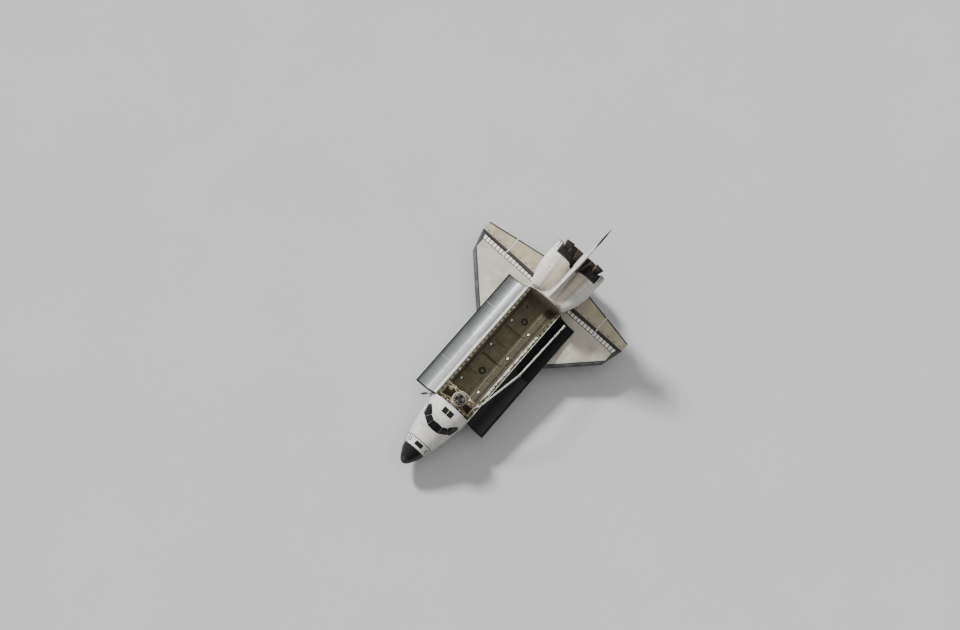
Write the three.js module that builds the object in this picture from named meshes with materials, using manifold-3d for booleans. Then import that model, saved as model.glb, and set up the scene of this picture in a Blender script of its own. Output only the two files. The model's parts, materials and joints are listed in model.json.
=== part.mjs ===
// A winged orbital vehicle standing on its landing gear, with its payload doors and arm out.
// Millimetres. Inside the craft's own frame X runs aft from the nose, Y to starboard and Z up
// from the axis of the payload bay. The outer group then sets it nose-down on its wheels.
import * as THREE from "three";
import { mergeVertices } from "three/addons/utils/BufferGeometryUtils.js";
import Module from "manifold-3d";

const wasm = await Module();
wasm.setup();

// The real craft is dimensioned in inches: stations aft, buttock lines out, waterlines up.
const INCH = 25.4;
const NOSE_STATION = 236;
const BAY_WATERLINE = 400;
const sta = (station) => (station - NOSE_STATION) * INCH;
const but = (buttock) => buttock * INCH;
const wat = (waterline) => (waterline - BAY_WATERLINE) * INCH;
const rad = THREE.MathUtils.degToRad;

// Driving dimensions
const GAP = 1;                       // between pieces that are fastened together
const BODY_HALF_WIDTH = 2700;
const BODY_TOP = 2630;
const BODY_SHOULDER = -50;           // height at which the upper arch begins
const BAY_FRONT = sta(582);
const BAY_BACK = sta(1302);
const BAY_RADIUS = 2450;
const SILL_TOP = 400;
const DOOR_FRONT = BAY_FRONT + 152;
const DOOR_BACK = BAY_BACK - 12;
const DOOR_HINGE_Y = 2690;
const DOOR_HINGE_Z = 430;
const DOOR_OPEN = 175.5;             // degrees, as flown
const DOOR_THICK = 95;
const RADIATOR_THICK = 45;
const RADIATOR_BREAK = sta(945);     // the forward panels unlatch, the aft ones are fixed
const ELEVON_HINGE = sta(1387);
const BASE_PLANE = sta(1516);
const NOSE_TYRE = { radius: 405, width: 220, x: sta(383), z: wat(237), track: 560 };
const MAIN_TYRE = { radius: 565, width: 410, x: sta(1173), y: but(136), z: wat(191), track: 900 };

const COLOURS = {
  white: 0xe9e8e4, tile: 0x2c2d30, carbon: 0x8d8f90, glass: 0x16181c, liner: 0x9d9878,
  metal: 0xb9bcc0, bell: 0x4a4640, radiator: 0xc3c6c8, rubber: 0x1d1d1e, blanket: 0xd8d2bd,
};
const pieces = [];

function solidOf(geometry) {
  const bare = geometry.clone();
  bare.deleteAttribute("normal");
  bare.deleteAttribute("uv");
  const merged = mergeVertices(bare, 1e-3);
  const corners = merged.index.array;
  const kept = [];
  for (let i = 0; i < corners.length; i += 3) {
    const [a, b, c] = [corners[i], corners[i + 1], corners[i + 2]];
    if (a !== b && b !== c && c !== a) kept.push(a, b, c);
  }
  return new wasm.Manifold(new wasm.Mesh({
    numProp: 3,
    vertProperties: new Float32Array(merged.attributes.position.array),
    triVerts: new Uint32Array(kept),
  }));
}

function geometryOf(solid) {
  const mesh = solid.getMesh();
  const geometry = new THREE.BufferGeometry();
  geometry.setAttribute("position", new THREE.BufferAttribute(mesh.vertProperties.slice(), 3));
  geometry.setIndex(new THREE.BufferAttribute(mesh.triVerts.slice(), 1));
  geometry.computeVertexNormals();
  return geometry;
}

function add(name, solid, colour, roughness = 0.6, metalness = 0) {
  const material = new THREE.MeshStandardMaterial({
    color: COLOURS[colour], roughness, metalness,
  });
  const mesh = new THREE.Mesh(geometryOf(solid), material);
  mesh.name = name;
  pieces.push(mesh);
}

const join = (...solids) => solids.reduce((sum, next) => sum.add(next));
const cut = (solid, ...tools) => tools.reduce((rest, tool) => rest.subtract(tool), solid);
const common = (a, b) => a.intersect(b);
const sides = [["port", -1], ["starboard", 1]];

// A closed skin through rings of equal length; flat maps a ring's point to the plane of its end.
function loft(rings, flat) {
  const count = rings[0].length;
  const points = rings.flat();
  const faces = [];
  for (let r = 0; r + 1 < rings.length; r++) {
    for (let i = 0; i < count; i++) {
      const [a, b] = [r * count + i, r * count + (i + 1) % count];
      faces.push(a, b, b + count, a, b + count, a + count);
    }
  }
  for (const [ring, turn] of [[0, true], [rings.length - 1, false]]) {
    const outline = rings[ring].map(flat);
    const clockwise = THREE.ShapeUtils.isClockWise(outline);
    for (const face of THREE.ShapeUtils.triangulateShape(outline, [])) {
      const [a, b, c] = face.map((i) => i + ring * count);
      if (clockwise === turn) faces.push(a, b, c);
      else faces.push(a, c, b);
    }
  }
  const position = points.flatMap((p) => [p.x, p.y, p.z]);
  let volume = 0;
  for (let i = 0; i < faces.length; i += 3) {
    const [a, b, c] = [points[faces[i]], points[faces[i + 1]], points[faces[i + 2]]];
    volume += a.dot(b.clone().cross(c));
  }
  if (volume < 0) faces.reverse();
  const geometry = new THREE.BufferGeometry();
  geometry.setAttribute("position", new THREE.Float32BufferAttribute(position, 3));
  geometry.setIndex(faces);
  return solidOf(geometry);
}
const alongX = (p) => new THREE.Vector2(p.y, p.z);
const alongY = (p) => new THREE.Vector2(p.x, p.z);
const alongZ = (p) => new THREE.Vector2(p.x, p.y);

function box(x0, x1, y0, y1, z0, z1) {
  const geometry = new THREE.BoxGeometry(x1 - x0, y1 - y0, z1 - z0);
  geometry.translate((x0 + x1) / 2, (y0 + y1) / 2, (z0 + z1) / 2);
  return solidOf(geometry);
}

// An outline of [a, b] pairs pushed along an axis: "x" reads them as y, z; "y" as x, z; "z" as x, y.
function prism(axis, outline, from, to) {
  const place = {
    x: (p, at) => new THREE.Vector3(at, p[0], p[1]),
    y: (p, at) => new THREE.Vector3(p[0], at, p[1]),
    z: (p, at) => new THREE.Vector3(p[0], p[1], at),
  }[axis];
  const flat = { x: alongX, y: alongY, z: alongZ }[axis];
  return loft([from, to].map((at) => outline.map((p) => place(p, at))), flat);
}

// A round bar between two points, with its two end radii
function rod(from, to, r0, r1 = r0, facets = 14) {
  const [a, b] = [new THREE.Vector3(...from), new THREE.Vector3(...to)];
  const geometry = new THREE.CylinderGeometry(r1, r0, a.distanceTo(b), facets);
  geometry.rotateX(Math.PI / 2);
  geometry.applyMatrix4(new THREE.Matrix4().lookAt(b, a, new THREE.Vector3(0.01, 0.02, 1)));
  const middle = a.clone().add(b).multiplyScalar(0.5);
  geometry.translate(middle.x, middle.y, middle.z);
  return solidOf(geometry);
}

// A turned piece: profile of [radius, distance] pairs about an axis from one point towards another
function turned(profile, from, direction, facets = 28) {
  const outline = profile.map(([r, d]) => new THREE.Vector2(r, d));
  const geometry = new THREE.LatheGeometry(outline, facets);
  const turn = new THREE.Quaternion().setFromUnitVectors(
    new THREE.Vector3(0, 1, 0), new THREE.Vector3(...direction).normalize());
  geometry.applyQuaternion(turn);
  geometry.translate(...from);
  const solid = solidOf(geometry);
  if (solid.volume() > 0) return solid;
  const flipped = solidOf(geometry.setIndex([...geometry.index.array].reverse()));
  return flipped;
}

// A solid turned about an axis through a point, in degrees
function turnedAbout(solid, point, axis, degrees) {
  const geometry = geometryOf(solid);
  geometry.translate(-point[0], -point[1], -point[2]);
  geometry.applyMatrix4(new THREE.Matrix4().makeRotationAxis(
    new THREE.Vector3(...axis).normalize(), rad(degrees)));
  geometry.translate(...point);
  return solidOf(geometry);
}

// Fuselage sections: station, half-width, top, bottom, height of greatest width, and how square
// the upper and lower halves are (2 is round).
const SECTIONS = [
  [236.5, 4, 343, 335, 339, 2, 2],
  [240, 12.5, 352, 327, 339, 2, 2],
  [248, 22, 361, 317, 338, 2, 2.2],
  [262, 32, 371, 308, 336, 2, 2.3],
  [300, 53, 391, 291, 334, 2, 2.8],
  [350, 68, 411, 283, 340, 2, 3.2],
  [400, 80, 428, 278, 352, 2.1, 4],
  [444, 89, 441, 275.2, 366, 2.1, 4.8],
  [480, 95, 477, 273.6, 376, 2.4, 5.7],
  [508, 98.5, 494, 272.8, 383, 2.5, 6.3],
  [540, 102, 501, 272.4, 391, 2.4, 7],
  [582, 106.3, 503.5, 272.05, 398, 2.4, 8],
  [1307, 106.3, 503.5, 272.05, 398, 2.4, 8],
  [1400, 107, 503, 275, 398, 2.6, 8],
  [1470, 107.5, 501, 280, 398, 3, 8],
  [1516, 106, 498, 284.5, 398, 3.4, 8],
  [1520, 106, 498, 284.5, 398, 3.4, 8],
];
const RING = 36;

function bodyRing([station, width, top, bottom, shoulder, upper, lower], grow) {
  return Array.from({ length: RING }, (_, i) => {
    const turn = (i / RING) * 2 * Math.PI;
    const [c, s] = [Math.cos(turn), Math.sin(turn)];
    const power = 2 / (s >= 0 ? upper : lower);
    const rise = s >= 0 ? wat(top) - wat(shoulder) + grow : wat(shoulder) - wat(bottom) + grow;
    return new THREE.Vector3(sta(station),
      (but(width) + grow) * Math.sign(c) * Math.abs(c) ** power,
      wat(shoulder) + rise * Math.sign(s) * Math.abs(s) ** power);
  });
}

// The body's outer skin between two stations, grown (or shrunk) by a distance
function body(from, to, grow = 0) {
  const blend = (station) => {
    const after = SECTIONS.findIndex((row) => row[0] >= station);
    if (after <= 0) return [station, ...SECTIONS[Math.max(after, 0)].slice(1)];
    const [a, b] = [SECTIONS[after - 1], SECTIONS[after]];
    const share = (station - a[0]) / (b[0] - a[0]);
    return a.map((value, i) => value + (b[i] - value) * share);
  };
  const inner = SECTIONS.filter(([station]) => station > from + 0.1 && station < to - 0.1);
  return loft([blend(from), ...inner, blend(to)].map((row) => bodyRing(row, grow)), alongX);
}

// Forward fuselage: nose cap, thruster module, crew cabin with its windows and hatch
const NOSE_CAP_END = 262;
const MODULE = { from: 323, to: 373, floor: wat(362) };
const CABIN = { from: 436, to: 568, wall: 230, floor: wat(322), deck: wat(404) };
const HATCH = { x: sta(512), z: wat(350), radius: but(20) };
const NOSE_WELL = { from: sta(336), to: sta(424), half: 560, roof: wat(312) };

const moduleZone = box(sta(MODULE.from), sta(MODULE.to), -2000, 2000, MODULE.floor, 3000);
const moduleNotch = box(sta(MODULE.from) - GAP, sta(MODULE.to) + GAP, -2000, 2000,
  MODULE.floor - GAP, 3000);
// Three panes a side, as seen from above: station and buttock line of each corner
const PANES = [
  [[449, 3], [451, 30], [475, 27], [475, 3]],
  [[454, 37], [470, 63], [489, 51], [479, 33]],
  [[477, 70], [513, 88], [521, 77], [495, 58]],
];
const PANE_FOOT = wat(430);
function paneTool([pane, side], shrink) {
  const middle = pane.reduce(([x, y], [a, b]) => [x + a / 4, y + b / 4], [0, 0]);
  const corner = ([x, y]) => {
    const [dx, dy] = [sta(x) - sta(middle[0]), but(y) - but(middle[1])];
    const share = 1 - shrink / Math.hypot(dx, dy);
    return [sta(middle[0]) + dx * share, side * (but(middle[1]) + dy * share)];
  };
  return prism("z", pane.map(corner), PANE_FOOT + shrink, wat(520));
}
const ALL_PANES = PANES.flatMap((pane) => [[pane, -1], [pane, 1]]);
const roofWindow = (side, shrink) => box(sta(539) + shrink, sta(560) - shrink,
  ...[but(5) + shrink, but(26) - shrink].map((y) => side * y).sort((a, b) => a - b),
  wat(470), wat(520));

const cabinSpace = common(body(CABIN.from, CABIN.to, -CABIN.wall),
  box(0, 9000, -2600, 2600, CABIN.floor, 2600));
const nearWindows = common(cut(body(437, 567, -CABIN.wall - GAP), body(437, 567, -CABIN.wall - 50)),
  box(sta(440), sta(525), -2500, 2500, wat(425), wat(489)));
const nearRoof = common(cut(body(437, 567, -CABIN.wall - GAP), body(437, 567, -CABIN.wall - 50)),
  box(sta(533), sta(565), -but(32), but(32), wat(470), wat(500)));
const outerSkin = (shrink) => body(400, 575, -shrink);

const hatchTool = (grow) => rod([HATCH.x, -1500, HATCH.z], [HATCH.x, -2900, HATCH.z],
  HATCH.radius + grow, HATCH.radius + grow, 28);
const noseWell = box(NOSE_WELL.from, NOSE_WELL.to, -NOSE_WELL.half, NOSE_WELL.half,
  -5000, NOSE_WELL.roof);

add("nose_cap", body(236.5, NOSE_CAP_END), "carbon", 0.5);
add("forward_thruster_module", common(body(NOSE_CAP_END, 400), moduleZone), "white");

const archHollow = common(body(560, 600, -CABIN.wall), box(BAY_FRONT, 9200, -3000, 3000, -100, 3000));
const dishNotch = box(BAY_FRONT - 170, DOOR_FRONT + 10, 2330, 2900, 380, 980);
let forward = join(body(NOSE_CAP_END + 0.04, 582 - 0.04), common(body(581, 588), box(BAY_FRONT - 20,
  DOOR_FRONT - 15, -3000, 3000, SILL_TOP + 32, 3000)));
forward = cut(forward, moduleNotch, cabinSpace, noseWell, hatchTool(8), archHollow, dishNotch,
  ...ALL_PANES.map((pane) => paneTool(pane, 0)),
  roofWindow(-1, 0), roofWindow(1, 0));
add("forward_fuselage", forward, "white");

add("windshield", join(nearWindows, ...ALL_PANES.map((pane) =>
  common(cut(outerSkin(12), body(401, 574, -CABIN.wall - 20)), paneTool(pane, 6)))), "glass", 0.1);
add("overhead_windows", join(nearRoof, ...[-1, 1].map((side) =>
  common(cut(outerSkin(12), body(401, 574, -CABIN.wall - 20)), roofWindow(side, 4)))), "glass", 0.1);

// Flight deck: floor, two rows of seats, and the consoles before them
const SEATS = [[sta(478), -560], [sta(478), 560], [sta(520), -560], [sta(520), 560]];
const cabinFit = common(body(CABIN.from + 1, CABIN.to - 1, -CABIN.wall - 60),
  box(0, 9000, -2600, 2600, CABIN.deck - 90, 2600));
const seat = ([x, y]) => join(box(x, x + 480, y - 250, y + 250, CABIN.deck - 20, CABIN.deck + 420),
  box(x + 420, x + 540, y - 230, y + 230, CABIN.deck + 300, CABIN.deck + 1150));
add("flight_deck", common(join(
  box(sta(440), sta(566), -2400, 2400, CABIN.deck - 90, CABIN.deck),
  box(sta(448), sta(462), -1300, 1300, CABIN.deck - 20, CABIN.deck + 700),
  box(sta(470), sta(500), -150, 150, CABIN.deck - 20, CABIN.deck + 560),
  box(sta(552), sta(563), -1500, 1500, CABIN.deck - 20, CABIN.deck + 1000),
  ...SEATS.map(seat)), cabinFit), "liner", 0.8);
const HATCH_DEEP = -2330;
const HATCH_PROUD = -2620;
const HATCH_TAPER = 36;
const hatchPlug = rod([HATCH.x, HATCH_DEEP, HATCH.z], [HATCH.x, HATCH_PROUD, HATCH.z],
  HATCH.radius - HATCH_TAPER, HATCH.radius, 28);
add("crew_hatch", common(common(body(480, 545), hatchPlug),
  cut(body(480, 545), body(480, 545, -CABIN.wall + 30))), "white");

// Mid fuselage: a trough with the payload bay in it, lined, and sills that carry the doors
const arc = (radius, from, to, steps, y0 = 0, z0 = 0) => Array.from({ length: steps + 1 }, (_, i) => {
  const angle = rad(from + (to - from) * (i / steps));
  return [y0 + radius * Math.cos(angle), z0 + radius * Math.sin(angle)];
});
const sillBase = SILL_TOP - 70;
const trough = (radius, top) => [[radius, top], [-radius, top], ...arc(radius, 180, 360, 18)];
const midOutside = common(body(582, 1302),
  box(BAY_FRONT + GAP, BAY_BACK - GAP, -3000, 3000, -4000, sillBase));
add("mid_fuselage", cut(midOutside, prism("x", trough(BAY_RADIUS, 1000), 0, 40000)), "white");
const linerOuter = BAY_RADIUS - GAP;
add("bay_liner", cut(
  prism("x", trough(linerOuter, sillBase - 20), BAY_FRONT + 2, BAY_BACK - 2),
  prism("x", trough(linerOuter - 40, 1000), BAY_FRONT + 60, BAY_BACK - 60)), "liner", 0.9);
for (const [side, sign] of sides) {
  const edge = (y) => sign * y;
  add(`sill_longeron_${side}`, prism("x", [[edge(2290), sillBase + GAP], [edge(2640), sillBase + GAP],
    [edge(2640), SILL_TOP], [edge(2290), SILL_TOP]], BAY_FRONT + GAP, BAY_BACK - GAP), "metal", 0.5, 0.6);
}

// Payload doors, built shut and swung to where they are flown, with the forward radiators on them
function archPoints(offset, low) {
  const points = [];
  for (let i = 0; i <= 14; i++) {
    const turn = rad(i * 90 / 14);
    const y = (BODY_HALF_WIDTH - offset) * Math.cos(turn) ** (2 / 2.4);
    const z = BODY_SHOULDER + (BODY_TOP - BODY_SHOULDER - offset) * Math.sin(turn) ** (2 / 2.4);
    if (z > low + 40) points.push([y, z]);
  }
  const atLow = (BODY_HALF_WIDTH - offset)
    * (1 - ((low - BODY_SHOULDER) / (BODY_TOP - BODY_SHOULDER - offset)) ** 2.4) ** (1 / 2.4);
  return [[atLow, low], ...points];
}
function archStrip(sign, outside, inside, low, meet, from, to) {
  const height = (y, offset) => BODY_SHOULDER + (BODY_TOP - BODY_SHOULDER - offset)
    * (1 - (y / (BODY_HALF_WIDTH - offset)) ** 2.4) ** (1 / 2.4);
  const side = (offset) => [...archPoints(offset, low).filter(([y]) => y > meet + 20),
    [meet, height(meet, offset)]].map(([y, z]) => [sign * y, z]);
  const outline = [...side(outside), ...side(inside).reverse()];
  return prism("x", outline, from, to);
}
function openDoor(solid, sign) {
  return turnedAbout(solid, [0, sign * DOOR_HINGE_Y, DOOR_HINGE_Z], [1, 0, 0], -sign * DOOR_OPEN);
}
for (const [side, sign] of sides) {
  const door = archStrip(sign, 0, DOOR_THICK, 445, 8, DOOR_FRONT, DOOR_BACK);
  const fixed = archStrip(sign, DOOR_THICK - 10, DOOR_THICK + RADIATOR_THICK + 8, 620, 330,
    RADIATOR_BREAK + 30, DOOR_BACK - 120);
  add(`payload_door_${side}`, openDoor(join(door, fixed), sign), "white");
  add(`radiator_${side}`, openDoor(archStrip(sign, DOOR_THICK + 8, DOOR_THICK + 8 + RADIATOR_THICK,
    620, 330, DOOR_FRONT + 120, RADIATOR_BREAK - 30), sign), "radiator", 0.35, 0.6);
}

// Airlock and docking truss at the front of the bay, with the docking ring on top
const DOCK = { x: sta(640), z: wat(478), radius: 640 };
const TRUSS = { front: sta(612), back: sta(682), side: 2200, level: 270, tube: 62 };
const trussBar = (from, to) => rod(from, to, TRUSS.tube, TRUSS.tube, 8);
const dockBrace = (x, y) => trussBar([x, y * TRUSS.side, TRUSS.level],
  [DOCK.x + Math.sign(x - DOCK.x) * 470, y * 520, DOCK.z - 200]);
add("docking_module", join(
  rod([BAY_FRONT + 62, 0, -500], [DOCK.x + 900, 0, -500], 780, 780, 24),
  rod([DOCK.x, 0, -500], [DOCK.x, 0, DOCK.z - 260], 640, 560, 24),
  rod([DOCK.x, 0, DOCK.z - 330], [DOCK.x, 0, DOCK.z - 60], 800, 800, 24),
  ...[TRUSS.front, TRUSS.back].flatMap((x) => [
    trussBar([x, -2286, TRUSS.level], [x, 2286, TRUSS.level]), dockBrace(x, -1), dockBrace(x, 1)]),
  ...[-1, 1].map((y) => trussBar([TRUSS.front, y * TRUSS.side, TRUSS.level],
    [TRUSS.back, y * TRUSS.side, TRUSS.level]))),
"blanket", 0.8);
add("docking_ring", turned([[430, 0], [DOCK.radius, 0], [DOCK.radius, 90], [560, 190], [560, 330],
  [470, 330], [430, 120], [430, 0]], [DOCK.x, 0, DOCK.z - 59], [0, 0, 1], 32), "metal", 0.4, 0.7);

// Wing sections: distance out, leading edge, trailing edge, mid-plane height, half thickness at
// the hinge, and the greatest half thickness ahead of it
const WING = [
  [106.3, 517, 1509, 301, 15.5, 27],
  [119, 600, 1505, 301.5, 15, 26.5],
  [185, 1022, 1492, 303, 12.3, 24],
  [300, 1137, 1473, 305.5, 8.3, 16.5],
  [432, 1272, 1449, 308.3, 4.4, 7.5],
  [466, 1392, 1442, 309, 3.2, 3.6],
];
// Share of the way from leading edge to hinge, and the half thickness there as a share of the greatest
const PROFILE = [[0, 0.04], [0.01, 0.2], [0.05, 0.44], [0.15, 0.74], [0.4, 1], [0.7, 0.9]];
const hingeStation = 1387;
function wingRow(out) {
  const after = Math.max(1, WING.findIndex((row) => row[0] >= out - 1e-6));
  const [a, b] = [WING[after - 1], WING[after]];
  const share = (out - a[0]) / (b[0] - a[0]);
  return a.map((value, i) => value + (b[i] - value) * share);
}
function wingRing(out, sign, grow = 0) {
  const [, front, back, middle, hingeHalf, most] = wingRow(out);
  const hinge = Math.max(hingeStation, front + 6);
  const half = (share) => Math.max(most * share, 0.6);
  const stations = [...PROFILE.map(([along, share]) => [front + (hinge - front) * along, half(share)]),
    [hinge, hingeHalf], [back, 1.2]];
  const point = ([station, h], up) => new THREE.Vector3(sta(station), sign * but(out),
    wat(middle) + up * (but(h) + grow));
  return [...stations.map((s) => point(s, 1)), ...[...stations].reverse().map((s) => point(s, -1))];
}
const wingSkin = (sign, outs, grow = 0) => loft(outs.map((out) => wingRing(out, sign, grow)), alongY);
const hingeHalf = (out) => but(wingRow(out)[4]);
const hingeHeight = (out) => wat(wingRow(out)[3]);

const EDGE_DEPTH = but(21);
const GEAR_WELL = { from: sta(1108), to: sta(1232), in: but(112), out: but(172), roof: wat(306) };
const ELEVONS = [["inboard", 119, 299.4], ["outboard", 300.6, 465]];
for (const [side, sign] of sides) {
  const outs = WING.map(([out]) => out);
  const whole = wingSkin(sign, [106.4, ...outs.slice(1)]);
  const bodyGap = body(500, 1520, GAP);
  const plan = (rows, from = -6000, to = 500) => prism("z", rows.map(([x, y]) => [x, sign * y]), from, to);
  const edgeLine = (shift) => [[sta(892) + shift, but(165)], [sta(1022) + shift, but(185)],
    [sta(1272) + shift, but(432)], [sta(1392) + shift, but(466)]];
  const edgeZone = (shift) => plan([[sta(700), but(165)], ...edgeLine(EDGE_DEPTH + shift),
    [sta(1392) + EDGE_DEPTH, but(500)], [sta(700), but(500)]]);
  const recess = ELEVONS.map(([, near, far]) => {
    const front = (out) => ELEVON_HINGE - hingeHalf(out) - 25;
    const spare = far > 400 ? 300 : 14;
    return plan([[front(near), but(near) - 14], [front(far), but(far) + spare],
      [sta(1600), but(far) + spare], [sta(1600), but(near) - 14]]);
  });
  const well = box(GEAR_WELL.from, GEAR_WELL.to, ...[sign * GEAR_WELL.in, sign * GEAR_WELL.out]
    .sort((a, b) => a - b), -6000, GEAR_WELL.roof);
  add(`wing_${side}`, cut(whole, bodyGap, edgeZone(GAP), ...recess, well), "white");
  add(`wing_edge_${side}`, common(cut(whole, bodyGap, ...recess), edgeZone(-GAP)), "carbon", 0.5);
  for (const [name, near, far] of ELEVONS) {
    const ring = (out) => {
      const half = hingeHalf(out);
      const middle = hingeHeight(out);
      const nose = arc(half, 90, 270, 8, 0, 0).map(([x, z]) => [ELEVON_HINGE + x, middle + z]);
      const tail = [[sta(wingRow(out)[2]), middle - 22], [sta(wingRow(out)[2]), middle + 22]];
      return [...nose, ...tail].map(([x, z]) => new THREE.Vector3(x, sign * but(out), z));
    };
    add(`elevon_${name}_${side}`, loft([near, (near + far) / 2, far].map(ring), alongY), "tile");
  }
}

// Aft fuselage with its domes, pods and body flap
const ENGINES = [
  { name: "top", x: sta(1445), y: 0, z: wat(443), tilt: 16, toe: 0 },
  { name: "port", x: sta(1468.2), y: -but(53), z: wat(342.6), tilt: 10, toe: -3.5 },
  { name: "starboard", x: sta(1468.2), y: but(53), z: wat(342.6), tilt: 10, toe: 3.5 },
];
const ENGINE_LENGTH = but(157);
const MANOEUVRE = sides.map(([side, sign]) => (
  { name: side, x: sta(1518), y: sign * but(88), z: wat(492), tilt: 15.8, toe: sign * 6.5 }));
const thrustAxis = ({ tilt, toe }) => [Math.cos(rad(tilt)) * Math.cos(rad(toe)),
  Math.cos(rad(tilt)) * Math.sin(rad(toe)), Math.sin(rad(tilt))];
const conePocket = (engine, reach, radius) => {
  const axis = thrustAxis(engine);
  const base = [engine.x, engine.y, engine.z];
  return rod(base, base.map((v, i) => v + axis[i] * reach), radius * 0.28, radius, 24);
};
const DOORS_BELOW = { from: sta(1312), to: sta(1362), in: but(51), out: but(99), deep: 160 };
let aft = join(body(1302, 1516), box(sta(1455), sta(1519), -2150, 2150, wat(290), wat(340)));
aft = cut(aft, box(BASE_PLANE - but(18), BASE_PLANE + 900, -but(42), but(42), wat(400), wat(520)),
  conePocket(ENGINES[0], but(90), but(58)), conePocket(ENGINES[1], but(75), but(50)),
  conePocket(ENGINES[2], but(75), but(50)),
  ...[-1, 1].map((sign) => box(DOORS_BELOW.from, DOORS_BELOW.to,
    ...[sign * DOORS_BELOW.in, sign * DOORS_BELOW.out].sort((a, b) => a - b), -4000,
    wat(275) + DOORS_BELOW.deep)));

// Fin: height, leading edge, trailing edge, and half thickness at the rudder's hinge line
const FIN = [[496, 1309, 1549, 10.6], [545, 1323, 1569, 9.9], [605, 1383, 1599.4, 8.6],
  [796, 1574, 1693.3, 4.6], [809, 1589, 1699.8, 4.3]];
const RUDDER = { low: 605, high: 795, lowHinge: 1526, highHinge: 1644.4 };
const TIP_BASE = 796;
const hingeAt = (level) => RUDDER.lowHinge
  + (level - RUDDER.low) * (RUDDER.highHinge - RUDDER.lowHinge) / (RUDDER.high - RUDDER.low);
function finRing([level, front, back, half]) {
  const hinge = Math.min(hingeAt(level), back - 20);
  const rows = [[front, 0.8], [front + 5, half * 0.35], [front + (hinge - front) * 0.45, half],
    [hinge, half], [back, 1.4]];
  return [...rows.map(([x, h]) => new THREE.Vector3(sta(x), but(h), wat(level))),
    ...[...rows].reverse().map(([x, h]) => new THREE.Vector3(sta(x), -but(h), wat(level)))];
}
const finRow = (level) => {
  const after = FIN.findIndex((row) => row[0] >= level);
  const [a, b] = [FIN[after - 1], FIN[after]];
  const share = (level - a[0]) / (b[0] - a[0]);
  return a.map((value, i) => value + (b[i] - value) * share);
};
const finWhole = loft(FIN.map(finRing), alongZ);
const rudderLow = RUDDER.low + 0.5;
const rudderHigh = RUDDER.high - 0.5;
const hingePoint = (level) => [sta(hingeAt(level)), 0, wat(level)];
const rudderBack = (shift, level, spare) => [sta(hingeAt(level)) + shift, wat(level) + spare];
const coveHalf = (level) => but(finRow(level)[3]);
// The fin ends flat ahead of the hinge tube; the panels end clear of the fin as they swing
const tubeRadius = (level) => coveHalf(level) * 0.96;
const finBack = (level) => -(tubeRadius(level) + 14) * 1.18;
const finRoom = prism("y", [rudderBack(finBack(RUDDER.low), RUDDER.low, -14),
  rudderBack(finBack(RUDDER.high), RUDDER.high, 60), [sta(1800), wat(RUDDER.high) + 60],
  [sta(1800), wat(RUDDER.low) - 14]], -900, 900);
const panelZone = prism("y", [rudderBack(62, RUDDER.low, 92), rudderBack(62, RUDDER.high, -80),
  rudderBack(330, RUDDER.high, -14), [sta(1800), wat(RUDDER.high) - 14],
  [sta(1800), wat(RUDDER.low) + 16], rudderBack(950, RUDDER.low, 16)], -900, 900);
const cove = rod(hingePoint(RUDDER.low), hingePoint(RUDDER.high),
  coveHalf(RUDDER.low) + 6, coveHalf(RUDDER.high) + 6, 24);
const chuteHousing = box(sta(1500), sta(1572), -330, 330, wat(548), wat(592));
const engineClearance = prism("y", [[sta(1492), wat(480)], [sta(1700), wat(480)],
  [sta(1700), wat(563)], [sta(1567), wat(563)], [sta(1492), wat(512)]], -900, 900);
const tipZone = box(0, 40000, -900, 900, wat(TIP_BASE), 12000);
add("fin", cut(join(finWhole, chuteHousing), finRoom, cove, engineClearance, tipZone,
  body(1302, 1520, GAP)), "white");
add("fin_tip", common(finWhole, tipZone), "white");
const slot = 26;
add("rudder_core", cut(join(
  rod(hingePoint(rudderLow), hingePoint(rudderHigh), tubeRadius(RUDDER.low),
    tubeRadius(RUDDER.high), 24),
  prism("y", [rudderBack(0, rudderLow, 0), rudderBack(0, rudderHigh, 0),
    rudderBack(1000, rudderHigh, 0), rudderBack(1600, rudderLow, 0)], -slot + 8, slot - 8)),
box(0, 40000, -900, 900, wat(RUDDER.high), 12000), box(0, 40000, -900, 900, 0, wat(RUDDER.low))), "white");
const coreClear = rod(hingePoint(RUDDER.low - 30), hingePoint(RUDDER.high + 30),
  coveHalf(RUDDER.low) * 1.05 + 22, coveHalf(RUDDER.high) * 0.96 + 4, 24);
for (const [side, sign] of sides) {
  const half = box(0, 40000, ...[sign * slot, sign * 900].sort((a, b) => a - b), 0, 12000);
  add(`rudder_panel_${side}`, cut(common(common(finWhole, panelZone), half),
    coreClear), "white");
}

// Manoeuvring pods on the shoulders: station, inner and outer edge, underside and top
const POD = [[1311, 40, 103, 440, 505], [1318, 36, 110, 432, 515], [1345, 29, 124, 424, 528],
  [1385, 25, 139, 420, 538], [1430, 24, 149, 420, 544], [1490, 25, 151, 424, 546],
  [1543, 27, 145, 436, 540]];
const POD_SQUARE = 2.9;
for (const [side, sign] of sides) {
  const ring = ([station, inner, outer, under, top]) => Array.from({ length: 24 }, (_, i) => {
    const turn = (i / 24) * 2 * Math.PI;
    const push = (value) => Math.sign(value) * Math.abs(value) ** (2 / POD_SQUARE);
    return new THREE.Vector3(sta(station),
      sign * but((inner + outer) / 2 + (outer - inner) / 2 * push(Math.cos(turn))),
      wat((under + top) / 2 + (top - under) / 2 * push(Math.sin(turn))));
  });
  const bellRoom = box(sta(1514), sta(1700), -but(43), but(43), wat(380), wat(531));
  const thrusters = prism("x", [[108, 462], [149, 462], [151, 486], [142, 516], [108, 526]]
    .map(([y, z]) => [sign * but(y), wat(z)]), sta(1497), sta(1566));
  const engine = MANOEUVRE.find(({ name }) => name === side);
  add(`manoeuvring_pod_${side}`, cut(join(loft(POD.map(ring), alongX), thrusters),
    body(1302, 1520, GAP), conePocket(engine, but(60), but(34)), bellRoom), "white");
}
add("aft_fuselage", aft, "white");
const flapPoint = [sta(1532), 0, wat(284.3)];
const FLAP_HALF = 3050;
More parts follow.
